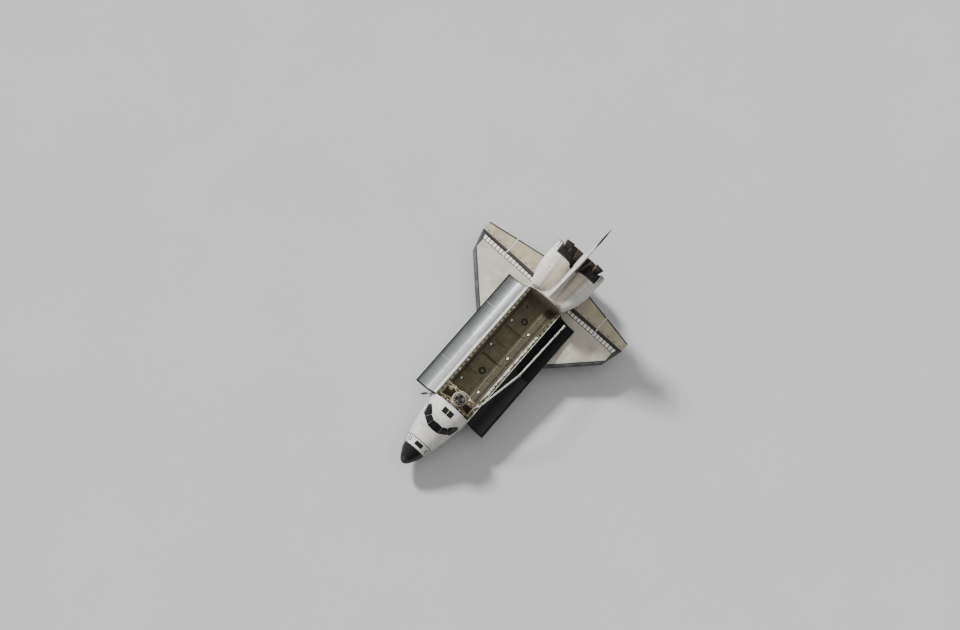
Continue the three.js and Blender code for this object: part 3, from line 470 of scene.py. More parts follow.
def shades():
    """Tints laid over the finished skins, each where the photograph shows one."""
    def past_shoulder(d):
        return d.out - (d.x * 0.09 - 52)

    def rear_wall(d):
        return d.box(x=(1295, 1303.6), z=(300, 520)) * (d.aft < -0.6)

    # The pods' inner shoulders take a cream tint of painted shade, past a soft grey line of painted
    # shade where the shoulder turns
    shade_over("felt_skin", lambda d: ((past_shoulder(d) * -0.06 + 0.5).math("SMOOTH_MIN", 1.0, 0.3)
                                       .math("MAXIMUM", 0.0)) * 0.5, "e9d9bd", "MULTIPLY")
    shade_over("felt_skin", lambda d: (past_shoulder(d) * past_shoulder(d) * -0.012)
               .math("EXPONENT") * 0.45, "a39a88", "MULTIPLY")
    # Painted shade up the port wall of the bay, and dark joints between its long panels
    shade_over("liner_cloth", lambda d: d.box(y=(-100, -46)) * 0.9, "8b8577", "MULTIPLY")
    shade_over("liner_cloth", lambda d: (d.seams(d.x, 58, 1.6, 12) | d.seams(d.girth, 24, 1.0)) * 0.6,
               "201d14")
    # Olive blankets on the bay's rear wall
    shade_over("body_skin", rear_wall, "8d8670")
    shade_over("body_skin", lambda d: (d.seams(d.y, 20, 0.7) | d.seams(d.z, 15, 0.7)) * rear_wall(d),
               "4b4636")
    # Paler tubes round the docking module's truss
    shade_over("docking_skin", lambda d: (d.box(x=(606, 618), z=(405, 416))
                                          | d.box(x=(676, 688), z=(405, 416))
                                          | d.box(out=(82.5, 95), z=(405, 416))), "c9c0a4")


# Low and high tint, seam colour, pitch of the pillows, depth, and the roughness if not 0.75
BLANKETS = {
    # Coated glass cloth, matt olive
    "liner_cloth": ("6a634c", "857d61", "2a261b", 12, 0.01),
    # Aged gold polyimide film, dull and creased
    "gold_blanket": ("6d6242", "9a8a60", "47402c", 9, 0.02),
    "docking_skin": ("6d6242", "9a8a60", "47402c", 9, 0.02),
    # White glass cloth
    "white_blanket": ("bdb9ac", "dcd9ce", "8d897c", 7, 0.012),
    # Black-painted composite, smoother
    "dish_skin": ("2a2724", "4a423b", "1c1a18", 5, 0.004, 0.5),
    # Film taped over aluminium frames, with a faint quilt only
    "liner_edge": ("5d5a45", "7a755b", "3d3a30", 9, 0.006),
}
# Low and high tint, roughness and how metallic it is
METALS = {
    "bare_metal": ("8e9091", "b2b4b3"),  # machined aluminium, clear highlights
    "dark_metal": ("1f1f20", "39393a", 0.5),  # black anodised aluminium, satin
    "fitting_black": ("1c1a15", "37332a", 0.7, 0.0),  # matt black paint
    "leg_metal": ("b5b6b4", "d0d0cc", 0.4, 0.4),  # grey enamel on steel, worn bright
    "paint_white": ("c9c8c0", "e4e3dc", 0.5, 0.0),  # white enamel, satin
    "lamp_white": ("e6e5de", "f6f5f0", 0.3, 0.0),  # opal glass, glossy
    "rib_metal": ("6a6154", "a59b88", 0.35, 0.8),  # heat-tinted steel tube, brownish
    "seam_grey": ("6d6a62", "85827a", 0.7, 0.0),  # silicone rubber filler, matt
    "cabin_paint": ("5f6466", "7b8082", 0.6, 0.0),  # grey enamel
}


def make_finishes():
    skin_finish("nose_skin", ("d6d4ce", "ebe9e4", "bdb8ab"), nose_zones, 8, 0.18, 0.003)
    skin_finish("body_skin", ("d0cdc5", "e6e3dc", "afaa9b"), lambda d: [
        *belly_zones(d), d.aft > 0.75, d.box(x=(1303.6, 1306.5), z=(424, 520))])
    skin_finish("fin_skin", ("d2d0c9", "e9e7e2", "b8b4a8"), lambda d: [
        d.x > d.z * 0.44 + 1322.0, d.box(z=(796, 830))])
    skin_finish("felt_skin", ("d8d5cc", "eeebe4", "bab4a4"), lambda d: [
        d.box(x=(1502, 1600), out=(0, 124)), d.box(x=(1561, 1600))], 36)
    wing_finish("wing_skin", False)
    wing_finish("elevon_skin", True)
    carbon_finishes()
    film_finishes()
    for name, look in BLANKETS.items():
        blanket_finish(name, *look)
    for name, look in METALS.items():
        metal_finish(name, *look)
    cloudy_finishes()
    shades()


# The solids that each finish dresses, and the angle in degrees under which their facets shade
# smooth; a * stands for port and for starboard
DRESSED = {
    ("nose_carbon", 30): "nose_cap",
    ("nose_skin", 30): "forward_thruster_module forward_fuselage crew_hatch",
    ("pane_glass", 12): "windshield overhead_windows",
    ("cabin_paint", 20): "flight_deck",
    ("body_skin", 30): "mid_fuselage aft_fuselage belly_door_* main_gear_door_* nose_gear_door_*",
    ("liner_cloth", 40): "bay_liner",
    ("liner_edge", 30): "sill_longeron_*",
    ("docking_skin", 40): "docking_module",
    ("dark_metal", 40): "docking_ring",
    ("door_skin", 30): "payload_door_*",
    ("radiator_film", 30): "radiator_*",
    ("dish_skin", 40): "dish_antenna",
    ("white_blanket", 40): "arm_foot arm_shoulder arm_upper arm_lower arm_wrist_pitch "
                           "arm_wrist_yaw arm_hand",
    ("wing_skin", 20): "wing_*",
    ("edge_carbon", 40): "wing_edge_*",
    ("elevon_skin", 20): "elevon_inboard_* elevon_outboard_*",
    ("elevon_skin", 25): "body_flap",
    ("fin_skin", 25): "fin fin_tip rudder_panel_*",
    ("fin_skin", 30): "rudder_core",
    ("felt_skin", 35): "manoeuvring_pod_*",
    ("bell_metal", 40): "main_engine_top main_engine_* manoeuvring_engine_*",
    ("leg_metal", 40): "nose_gear_leg nose_gear_fork main_gear_leg_*",
    ("tyre_rubber", 40): "nose_wheels main_wheels_*",
}
DRESS = {node.replace("*", side): dress for dress, nodes in DRESSED.items()
         for node in nodes.split() for side, _ in SIDES}
BODY_OF = {node: body for body, nodes in frame["record"]["behaviour"]["bodies"].items()
           for node in nodes}


# ---- making pieces
def pick_only(*objects):
    """Deselects everything, then selects and activates the given objects."""
    bpy.ops.object.select_all(action="DESELECT")
    for thing in objects:
        thing.select_set(True)
    if objects:
        bpy.context.view_layer.objects.active = objects[0]


def joined(pieces):
    """One piece of several."""
    pick_only(*pieces)
    if len(pieces) > 1:
        bpy.ops.object.join()
    return bpy.context.object


def settle(pieces, name, finish, body="root"):
    """Joins and names finished pieces, applies their place, and makes them ride a body."""
    piece = joined(pieces if isinstance(pieces, list) else [pieces])
    bpy.ops.object.transform_apply(location=True, rotation=True, scale=True)
    piece.name = piece.data.name = name
    piece.data.materials.clear()
    piece.data.materials.append(FINISHES[finish])
    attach(piece, body)


def mesh_step(*steps):
    """Runs edit-mode steps on the active piece; each step is an operator and its settings."""
    bpy.ops.object.mode_set(mode="EDIT")
    for operator, settings in steps:
        operator(**settings)
    bpy.ops.object.mode_set(mode="OBJECT")


EVERYTHING = (bpy.ops.mesh.select_all, {"action": "SELECT"})
MERGE = (bpy.ops.mesh.remove_doubles, {"threshold": 0.00005})
MERGE_SOLID = (bpy.ops.mesh.remove_doubles, {"threshold": 0.0002})
FACE_OUT = (bpy.ops.mesh.normals_make_consistent, {"inside": False})
# The angle in degrees under which the facets of tubes and of rings shade smooth
TUBE_ANGLE, RING_ANGLE = 50, 35


def smooth_copy(node):
    """A merged, smoothly shaded copy of a solid, shown in its place."""
    finish, angle = DRESS[node]
    copy = NODES[node].copy()
    copy.data = copy.data.copy()
    bpy.context.scene.collection.objects.link(copy)
    copy.parent = None
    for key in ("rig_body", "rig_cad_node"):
        if key in copy:
            del copy[key]
    pick_only(copy)
    bpy.ops.mesh.customdata_custom_splitnormals_clear()
    mesh_step(EVERYTHING, MERGE_SOLID)
    bpy.ops.object.shade_smooth_by_angle(angle=radians(angle))
    settle(copy, f"{node}_skin", finish, BODY_OF[node])
    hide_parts(node)


def tube(points, radius, closed=False):
    """A round tube along points of the frame."""
    pick_only()
    bpy.ops.curve.primitive_nurbs_path_add()
    data = bpy.context.object.data
    data.splines.clear()
    spline = data.splines.new("POLY")
    spline.points.add(len(points) - 1)
    for point, place in zip(spline.points, points):
        point.co = (*place, 1)
    spline.use_cyclic_u = closed
    data.bevel_depth = radius
    data.bevel_resolution = 1
    data.use_fill_caps = not closed
    bpy.ops.object.convert(target="MESH")
    mesh_step(EVERYTHING, MERGE, FACE_OUT)
    bpy.ops.object.shade_smooth_by_angle(angle=radians(TUBE_ANGLE))
    return bpy.context.object


def bar(radius, *places):
    """A tube through points of the drawing."""
    return tube([at(*place) for place in places], radius)


def loop(place_of, step, radius):
    """A closed tube through place_of(angle), with a point every step degrees."""
    return tube([place_of(radians(a)) for a in range(0, 360, step)], radius, True)


def block(centre, size, turn=TURN, bevel=0.012, inset=0.0, lift=0.0):
    """A bevelled block; inset and lift raise or sink a smaller panel on its top."""
    pick_only()
    bpy.ops.mesh.primitive_cube_add(size=1)
    piece = bpy.context.object
    piece.scale = size
    bpy.ops.object.transform_apply(scale=True)
    if inset:
        mesh_step((bpy.ops.mesh.select_all, {"action": "DESELECT"}))
        for polygon in piece.data.polygons:
            polygon.select = polygon.normal.z > 0.9
        mesh_step((bpy.ops.mesh.inset, {"thickness": inset, "depth": 0.0}),
                  (bpy.ops.mesh.extrude_region_move,
                   {"TRANSFORM_OT_translate": {"value": (0, 0, lift)}}))
    mesh_step(EVERYTHING, (bpy.ops.mesh.bevel,
                           {"offset": bevel, "segments": 2, "affect": "EDGES"}))
    piece.matrix_world = Matrix.Translation(centre) @ turn.to_4x4()
    bpy.ops.object.transform_apply(location=True, rotation=True)
    return piece


def towards(direction, roll=(0, 1, 0)):
    """A turn whose Z axis points along direction and whose X axis is nearly square to roll."""
    up = Vector(direction).normalized()
    across = Vector(roll)
    if abs(up.dot(across.normalized())) > 0.98:
        across = Vector((1, 0, 0))
    first = across.cross(up).normalized()
    return Matrix((first, up.cross(first), up)).transposed()


def turned(profile, centre, direction, steps=24):
    """A closed outline of (radius, along) pairs spun round an axis."""
    pick_only()
    bpy.ops.mesh.primitive_circle_add(vertices=len(profile), radius=1, fill_type="NOTHING")
    ring = bpy.context.object
    for vertex, (radius, height) in zip(ring.data.vertices, profile):
        vertex.co = (radius, 0, height)
    mesh_step(EVERYTHING, (bpy.ops.mesh.spin, {
        "steps": steps, "angle": 2 * pi, "center": (0, 0, 0), "axis": (0, 0, 1),
        "dupli": False}),
        EVERYTHING, MERGE, (bpy.ops.mesh.delete_loose, {}), EVERYTHING, FACE_OUT)
    ring.matrix_world = Matrix.Translation(centre) @ towards(direction).to_4x4()
    bpy.ops.object.transform_apply(location=True, rotation=True)
    bpy.ops.object.shade_smooth_by_angle(angle=radians(RING_ANGLE))
    return ring


def collar(inner, outer, half, centre, direction, steps):
    """A ring of square section, half as long each way from its centre."""
    return turned([(inner, -half), (outer, -half), (outer, half), (inner, half)], centre,
                  direction, steps)


SKINS = {}


def hit(node, start, direction):
    """Where a line from start meets a solid, and the skin's direction there."""
    if node not in SKINS:
        solid = NODES[node]
        SKINS[node] = BVHTree.FromPolygons([solid.matrix_world @ v.co for v in solid.data.vertices],
                                           [p.vertices for p in solid.data.polygons])
    place, normal, _, _ = SKINS[node].ray_cast(start, direction)
    if place is None:
        raise RuntimeError(f"no skin of {node} on the line from {start}")
    return place, normal


# Where lines towards a skin start: over, beside and behind the craft and over its pods in
# inches of the drawing, and the metres out from a girdle's centre line
HIGH, WIDE, BEHIND, POD_HIGH = 1000, 700, 1700, 640
GIRDLE_START = 12


def above(node, station, out, level=HIGH):
    """The uppermost spot of a skin."""
    return hit(node, at(station, out, level), -UP)


def beside(node, station, level, side):
    """The outermost spot of a skin."""
    return hit(node, at(station, side * WIDE, level), Vector((0, -side, 0)))


def lifted(spot, lift):
    """A point over a spot of a skin."""
    place, normal = spot
    return place + normal * lift


def plate(spot, lift, size, *shape):
    """A block on a spot of a skin; shape is its bevel, inset and lift."""
    return block(lifted(spot, lift), size, towards(spot[1]), *shape)


def girdle(node, station, centre, angles, lift=0.002):
    """Points round a solid at one station, found from outside towards a centre line."""
    points = []
    for angle in angles:
        reach = Vector((0, sin(radians(angle)), cos(radians(angle))))
        start = at(station, *centre) + TURN @ reach * GIRDLE_START
        points.append(lifted(hit(node, start, TURN @ -reach), lift))
    return points


def nozzle_cups(spots, radius):
    """Small thruster mouths, each a rim round a shallow dark dish, set in the skin."""
    profile = [(radius * 0.05, 0.005), (radius * 0.7, 0.004), (radius, 0.012),
               (radius * 1.15, 0.0156), (radius * 1.25, 0.0), (radius * 1.1, -0.05),
               (radius * 0.05, -0.05)]
    return [turned(profile, *spot, 18) for spot in spots]


def spin_about(centre, axis, degrees):
    """A turn about a line of the frame."""
    return (Matrix.Translation(centre) @ Matrix.Rotation(radians(degrees), 4, axis)
            @ Matrix.Translation(-centre))


def spread(piece, moves):
    """Copies of a piece, each with a mesh of its own, joined to one."""
    copies = []
    for move in moves:
        copy = piece.copy()
        copy.data = piece.data.copy()
        copy.data.transform(move @ piece.matrix_world)
        copy.matrix_world = Matrix()
        bpy.context.scene.collection.objects.link(copy)
        copies.append(copy)
    bpy.data.objects.remove(piece)
    return joined(copies)


# ---- the payload bay
BAY_AXIS = 400
LINER_INSIDE = 94.7
SILL = 417.4
REAR_WALL = 1301.8


def bay_wall(station, degrees, lift=0.0):
    """A point on the bay's lining; degrees count from straight down, to starboard."""
    angle, radius = radians(degrees), LINER_INSIDE - lift
    return at(station, radius * sin(angle), BAY_AXIS - radius * cos(angle))


class ORBITER_OT_bay(bpy.types.Operator):
    """Frames, cables, lights and fittings inside the payload bay"""
    bl_idname = "orbiter.bay"
    bl_label = "Payload bay"

    def execute(self, context):
        settle([tube([bay_wall(x, degrees, 1.2) for degrees in range(-84, 85, 12)], 0.028)
                for x in range(640, 1290, 58)], "bay_hoops", "liner_edge")
        settle([tube([bay_wall(x, degrees, 0.9) for x in (590, 820, 1060, 1294)], 0.018)
                for degrees in (-62, -38, -14, 14, 38, 62)], "bay_stringers", "liner_edge")
        lamps, yokes = [], []
        for station in (750, 975, 1135):
            for side in (-1, 1):
                place = bay_wall(station, side * 38, 2.5)
                lamps.append(turned([(0.02, -0.03), (0.1, -0.03), (0.13, 0.0), (0.17, 0.1),
                                     (0.155, 0.105), (0.12, 0.06), (0.02, 0.06)], place,
                                    at(station, 0, BAY_AXIS) - place, 18))
                yokes += [tube([bay_wall(x, side * 38, lift) for lift in (0.2, 5)], 0.02)
                          for x in (station - 7.5, station + 7.5)]
                yokes.append(block(bay_wall(station, side * 31, 2), (0.3, 0.16, 0.12),
                                   rolled(radians(side * -31), "X")))
        settle(lamps, "bay_floodlights", "lamp_white")
        settle(yokes, "floodlight_yokes", "dark_metal")

        rounds, hubs = [], []
        for station, degrees in ((820, -32), (872, -42), (700, -20), (1240, 25)):
            place = bay_wall(station, degrees, 0.3)
            rounds.append(turned([(0.02, -0.01), (0.13, -0.01), (0.14, 0.03), (0.09, 0.05),
                                  (0.06, 0.03), (0.02, 0.03)], place,
                                 at(station, 0, BAY_AXIS) - place, 16))
        for station in (849, 1175):
            place = bay_wall(station, 0, 0.4)
            rounds.append(turned([(0.24, -0.01), (0.46, -0.01), (0.48, 0.03), (0.42, 0.055),
                                  (0.34, 0.03), (0.28, 0.06), (0.24, 0.05)], place, UP, 28))
            hubs.append(turned([(0.02, -0.01), (0.22, -0.01), (0.21, 0.02), (0.15, 0.06),
                                (0.1, 0.05), (0.02, 0.075)], place, UP, 20))
            for k in range(6):
                angle = radians(60 * k + 15)
                bolt = Vector((0.41 * cos(angle), 0.41 * sin(angle), 0.05))
                rounds.append(block(place + TURN @ bolt, (0.07, 0.07, 0.035),
                                    rolled(angle, "Z"), 0.008))
        settle(rounds, "floor_fittings", "fitting_black")
        settle(hubs, "floor_hubs", "liner_edge")
        settle([block(bay_wall(station, 0, 0.9), (0.24, 0.13, 0.09), TURN, 0.015, 0.03, 0.03)
                for station in (715, 775, 910, 960, 1015, 1070, 1225, 1262)], "keel_latches",
               "liner_edge")

        cables = [tube([bay_wall(x, side * (50 + move + 0.7 * sin(x / 17)), 1.5)
                        for x in range(700, 1290, 9)], 0.022)
                  for move in (0, 3.4) for side in (-1, 1)]
        for station, low, high, thick in ((921, -40, 41, 0.055), (1104, -34, 38, 0.05),
                                          (1010, -10, 40, 0.03), (815, 6, 60, 0.03)):
            cables.append(tube([bay_wall(station + 9 * abs(k / 8 - 1) ** 4 * (1 if k < 8 else -1),
                                         low + (high - low) * k / 16, 1.9)
                                for k in range(17)], thick))
        settle(cables, "bay_cables", "fitting_black")
        settle([block(bay_wall(station, degrees, 2.6), size, rolled(radians(-degrees), "X"), 0.012,
                      0.04, -0.02) for station, degrees, size in (
                          (700, 70, (0.5, 0.34, 0.16)), (792, -70, (0.42, 0.3, 0.14)),
                          (884, 70, (0.36, 0.3, 0.12)), (1040, -70, (0.5, 0.3, 0.16)),
                          (1118, 70, (0.36, 0.26, 0.12)), (1206, -70, (0.4, 0.3, 0.14)),
                          (1240, 62, (0.34, 0.3, 0.12)))], "bay_boxes", "liner_edge")
        return {"FINISHED"}


# The bay's end walls are round below, with this radius in inches
WALL_RADIUS = 90


def wall_reach(across):
    """How far an end wall reaches, square to a distance from its axis."""
    return sqrt(WALL_RADIUS ** 2 - across ** 2)


def arch(station, wide, base, high, reach, step):
    """Points of an upright arch across the craft, up to reach degrees from its top."""
    return [at(station, wide * sin(radians(a)), base + high * cos(radians(a)))
            for a in range(-reach, reach + 1, step)]


class ORBITER_OT_bulkheads(bpy.types.Operator):
    """Stiffeners, frames and covers on the bay's front and rear walls"""
    bl_idname = "orbiter.bulkheads"
    bl_label = "Bay end walls"

    def execute(self, context):
        bars = [bar(0.02, (REAR_WALL - 1.3, out, BAY_AXIS - wall_reach(out)),
                    (REAR_WALL - 1.3, out, 414)) for out in range(-72, 73, 18)]
        for level in (330, 352, 374, 396):
            reach = wall_reach(level - BAY_AXIS)
            bars.append(bar(0.024, (REAR_WALL - 1.5, -reach, level), (REAR_WALL - 1.5, reach, level)))
        bars += [bar(0.026, (REAR_WALL + 0.1, out, 418),
                     (REAR_WALL + 0.1, out, 409 + 79 * sqrt(1 - (out / 91) ** 2)))
                 for out in range(-60, 61, 20)]
        bars += [tube(arch(REAR_WALL, 91 * share, 418, 75 * share, 84, 12), 0.022)
                 for share in (0.4, 0.72)]
        settle(bars, "rear_wall_bars", "liner_edge")
        settle([block(at(1298.6, out, level), (0.09, width, height), TURN, 0.02)
                for out, level, width, height in (
                    (-63, 404, 0.36, 0.3), (63, 404, 0.36, 0.3), (-27, 385, 0.34, 0.4),
                    (27, 385, 0.34, 0.4), (0, 341, 0.5, 0.32), (-45, 341, 0.3, 0.26),
                    (45, 341, 0.3, 0.26))], "rear_wall_covers", "gold_blanket")
        settle(tube(arch(REAR_WALL - 0.2, 91, 413, 79, 86, 6), 0.03), "rear_wall_seal", "dark_metal")
        front = []
        for out in (-78, 78):
            front += [block(at(586.4, out, 372), (0.16, 0.42, 0.7), TURN, 0.03, 0.05, 0.03),
                      block(at(586.4, out, 404), (0.14, 0.4, 0.28), TURN, 0.03)]
        settle(front, "front_wall_boxes", "white_blanket")
        settle([turned([(0.02, -0.02), (0.2, -0.02), (0.24, 0.02), (0.2, 0.05), (0.14, 0.03),
                        (0.02, 0.03)], at(583.4, out, 449), AFT, 20) for out in (-14, 14)],
               "bay_view_windows", "dark_metal")
        return {"FINISHED"}


class ORBITER_OT_sills(bpy.types.Operator):
    """Latches, blankets, rails and boom cradles along both sills"""
    bl_idname = "orbiter.sills"
    bl_label = "Sills"

    def execute(self, context):
        draw = random.Random(11)
        for name, side in SIDES:
            latch = joined([block(at(606, side * 96.6, 416.9), (0.26, 0.13, 0.08), TURN, 0.01,
                                  0.02, 0.01),
                            bar(0.03, (600, side * 94, 416.8), (612, side * 94, 416.8))])
            settle(spread(latch, [shift(29 * k) for k in range(24)]), f"sill_latches_{name}",
                   "fitting_black")
            settle(bar(0.02, (588, side * 90.6, 416.3), (1301, side * 90.6, 416.3)),
                   f"sill_rail_{name}", "liner_edge")
            knuckle = collar(0.02, 0.05, 0.1, at(606, side * 105.9, SILL), AFT, 12)
            settle([spread(knuckle, [shift(43 * k) for k in range(17)]),
                    bar(0.03, (590, side * 105.9, 417.6), (1300, side * 105.9, 417.6))],
                   f"hinge_line_{name}", "paint_white", f"payload_door_{name}")
            hangers = []
            for station in range(596, 1300, 16):
                width = draw.uniform(0.1, 0.24)
                hangers.append(block(at(station, side * draw.uniform(90, 91.4), 411.5),
                                     (width, 0.06, draw.uniform(0.08, 0.2)), TURN, 0.014))
            settle(hangers, f"sill_pouches_{name}", "gold_blanket")

        # The port sill carries the boom's cradles, wrapped in white and gold blankets
        pillows = {"white_blanket": [], "gold_blanket": []}
        station = 742.0
        while station < 1132:
            size = (draw.uniform(0.12, 0.4), draw.uniform(0.1, 0.24), draw.uniform(0.06, 0.12))
            place = at(station, -draw.uniform(90.5, 94.2), 416.6 + size[2] / INCH / 2)
            turn = rolled(draw.uniform(-0.3, 0.3), "Z")
            kind = "gold_blanket" if draw.random() < 0.3 else "white_blanket"
            pillows[kind].append(block(place, size, turn, 0.02))
            station += draw.uniform(2.4, 6.0)
        for kind, pieces in pillows.items():
            settle(pieces, f"port_sill_{kind}s", kind)
        posts = []
        for station in (764, 918, 1046):
            posts += [block(at(station, -94, 417.8), (0.42, 0.3, 0.16), TURN, 0.03, 0.05, 0.04),
                      bar(0.03, (station - 9, -90, 420.6), (station + 9, -90, 420.6))]
            posts += [block(at(x, -94, 421), (0.06, 0.26, 0.1), TURN, 0.014)
                      for x in (station - 6, station + 6)]
        settle(posts, "boom_cradles", "paint_white")
        bearing = collar(0.04, 0.075, 0.05, at(730, -88.2, SILL), AFT, 14)
        settle([bar(0.05, (712, -88.2, SILL), (1136, -88.2, SILL)),
                spread(bearing, [shift(41 * k) for k in range(10)])], "cradle_shaft", "paint_white")
        marker = block(at(762, 91.2, SILL), (0.13, 0.11, 0.1), TURN, 0.02, 0.02, 0.01)
        settle(spread(marker, [shift(0), shift(64), shift(412)]), "sill_markers", "lamp_white")
        return {"FINISHED"}


class ORBITER_OT_doors(bpy.types.Operator):
    """Panel joints, hoses and latches on the open payload doors"""
    bl_idname = "orbiter.doors"
    bl_label = "Payload doors"

    def execute(self, context):
        rows = (112, 122, 134, 146, 158, 170, 182, 194, 204, 212)
        for name, side in SIDES:
            door = f"payload_door_{name}"
            # The same joints are white on the starboard door and dark on the port door: painted shade
            # on the port side
            joint = "paint_white" if side > 0 else "dark_metal"
            panels = (("door", door, 1121, rows, (960, 1030, 1100, 1170)),
                      ("radiator", f"radiator_{name}", 770, rows[1:-1], (600, 690, 780, 870, 935)))
            for part, body, station, outs, _ in panels:
                settle(tube([lifted(above(body, station, side * out), 0.004) for out in outs],
                            0.016), f"{part}_joint_{name}", joint, body)
            for part, body, _, _, stations in reversed(panels):
                settle([tube([lifted(above(body, x, side * out), 0.012) for x in stations], 0.012)
                        for out in (rows[1], rows[-2])], f"{part}_manifolds_{name}", "dark_metal",
                       body)
            settle([block(lifted(above(door, station, side * 216), 0.02), (0.16, 0.08, 0.05),
                          rolled(side * 0.6, "X"), 0.008)
                    for station in (600, 702, 804, 906, 1008, 1110, 1212, 1290)],
                   f"door_latches_{name}", "dark_metal", door)
        return {"FINISHED"}


# ---- the docking port
PORT_AXIS = 640


def round_port(angle, radius, level):
    """A point of the drawing round the docking port's axis, in inches."""
    return at(PORT_AXIS + radius * cos(angle), radius * sin(angle), level)


class ORBITER_OT_docking(bpy.types.Operator):
    """Ring latches, guide petals, hatch, blankets, tubes and lamps of the docking port"""
    bl_idname = "orbiter.docking"
    bl_label = "Docking port"

    def execute(self, context):
        latches = []
        for k in range(12):
            angle = radians(30 * k + 15)
            latches += [block(round_port(angle, 23.6, 483.6), (0.1, 0.14, 0.12),
                              rolled(angle, "Z"), 0.012, 0.02, 0.02),
                        tube([round_port(angle + turn, 22.9, 487) for turn in (-0.16, 0.16)], 0.018)]
        settle(latches, "ring_latches", "bare_metal")
        petals = []
        for k in range(3):
            angle = radians(120 * k + 60)
            petals += [block(round_port(angle, 16.6, 486.2), (0.26, 0.34, 0.028),
                             rolled(angle, "Z") @ Matrix.Rotation(radians(-48), 3, "Y"), 0.01),
                       tube([round_port(angle + turn, radius, level) for turn, radius, level in (
                           (-0.5, 18.6, 487.6), (0, 13.6, 490.4), (0.5, 18.6, 487.6))], 0.022)]
        settle(petals, "ring_petals", "bare_metal")
        hatch = [tube([round_port(radians(45 * k), 5, 483.4), round_port(radians(45 * k), 14, 482.6)],
                      0.02) for k in range(8)]
        hatch.append(turned([(0.02, -0.05), (0.36, -0.05), (0.4, 0.0), (0.37, 0.03), (0.2, 0.05),
                             (0.16, 0.03), (0.1, 0.03), (0.02, 0.05)],
                            at(PORT_AXIS, 0, 488.4) - UP * 0.18, UP, 28))
        settle(hatch, "docking_hatch", "fitting_black")
        settle(turned([(0.62, 0.0), (0.72, 0.0), (0.84, -0.06), (0.86, -0.2), (0.78, -0.26),
                       (0.62, -0.2)], at(PORT_AXIS, 0, 476.5), UP, 32), "docking_collar",
               "liner_edge")
        settle([loop(lambda a: round_port(a, 0.86 / INCH, 472), 15, 0.03),
                loop(lambda a: round_port(a, 0.87 / INCH, 468), 15, 0.03),
                bar(0.045, (678, 24, 424), (687, 6, 430), (688, -14, 432), (685, -40, 428),
                    (670, -78, 420)),
                bar(0.045, (664, 80, 420), (672, 54, 426), (685, 46, 422)),
                bar(0.04, (586, -32, 418), (590, -56, 419), (591, -78, 418))],
               "docking_handrails", "paint_white")
        lamps = ((606, -40), (606, 40), (676, -44), (676, 44))
        settle([turned([(0.02, -0.06), (0.09, -0.06), (0.13, 0.04), (0.11, 0.05), (0.02, 0.02)],
                       at(x, out, 430), along(((PORT_AXIS - x) / 4, -out / 4, 12)), 16)
                for x, out in lamps], "docking_lamps", "lamp_white")
        settle([bar(0.022, (x, out, 413), (x, out, 428)) for x, out in lamps],
               "docking_lamp_stands", "dark_metal")
        draw = random.Random(5)
        wraps = []
        for _ in range(34):
            station = draw.choice((612, 682)) + draw.uniform(-3, 3)
            out = draw.uniform(-84, 84)
            wraps.append(block(at(station, out, 411.5 + draw.uniform(-1, 2)),
                               (draw.uniform(0.12, 0.22), draw.uniform(0.12, 0.34),
                                draw.uniform(0.12, 0.2)),
                               rolled(draw.uniform(-0.5, 0.5), "Z"), 0.03))
        settle(wraps, "truss_blankets", "gold_blanket")
        settle([block(at(x, y, z), size, TURN, 0.03, 0.05, 0.03) for x, y, z, size in (
            (604, -66, 404, (0.34, 0.5, 0.4)), (604, 62, 402, (0.34, 0.6, 0.4)),
            (664, -60, 396, (0.4, 0.5, 0.44)), (664, 62, 392, (0.4, 0.5, 0.5)))],
               "docking_equipment", "gold_blanket")
        settle([loop(lambda a, x=x: at(x, 31.3 * cos(a), 380.3 + 31.3 * sin(a)), 12, 0.03)
                for x in (592, 604, 668, 674.5)], "airlock_bands", "bare_metal")
        return {"FINISHED"}


# ---- engines and tail
# Bells: station, buttock line and waterline of the gimbal, tilt, toe, length and exit radius
BELLS = {
    "main_engine_top": ((1445, 0, 443), 16, 0, 157, 45.35),
    "main_engine_port": ((1468.2, -53, 342.6), 10, -3.5, 157, 45.35),
    "main_engine_starboard": ((1468.2, 53, 342.6), 10, 3.5, 157, 45.35),
    "manoeuvring_engine_port": ((1518, -88, 492), 15.8, -6.5, 80, 22.5),
    "manoeuvring_engine_starboard": ((1518, 88, 492), 15.8, 6.5, 80, 22.5),
}
# Shares of the exit radius and of the length, down the outside of a bell
BELL_WALL = [(0.25, 0.26), (0.42, 0.4), (0.62, 0.55), (0.8, 0.72), (0.93, 0.88), (1, 1)]


def bell_radius(share):
    """Share of the exit radius at a share of a bell's length."""
    for (r0, d0), (r1, d1) in zip(BELL_WALL, BELL_WALL[1:]):
        if share <= d1:
            return r0 + (r1 - r0) * (share - d0) / (d1 - d0)


def thrust_line(tilt, toe):
    """The direction of a bell that points up by tilt and outward by toe, in degrees."""
    tilt, toe = radians(tilt), radians(toe)
    return along((cos(tilt) * cos(toe), cos(tilt) * sin(toe), sin(tilt)))


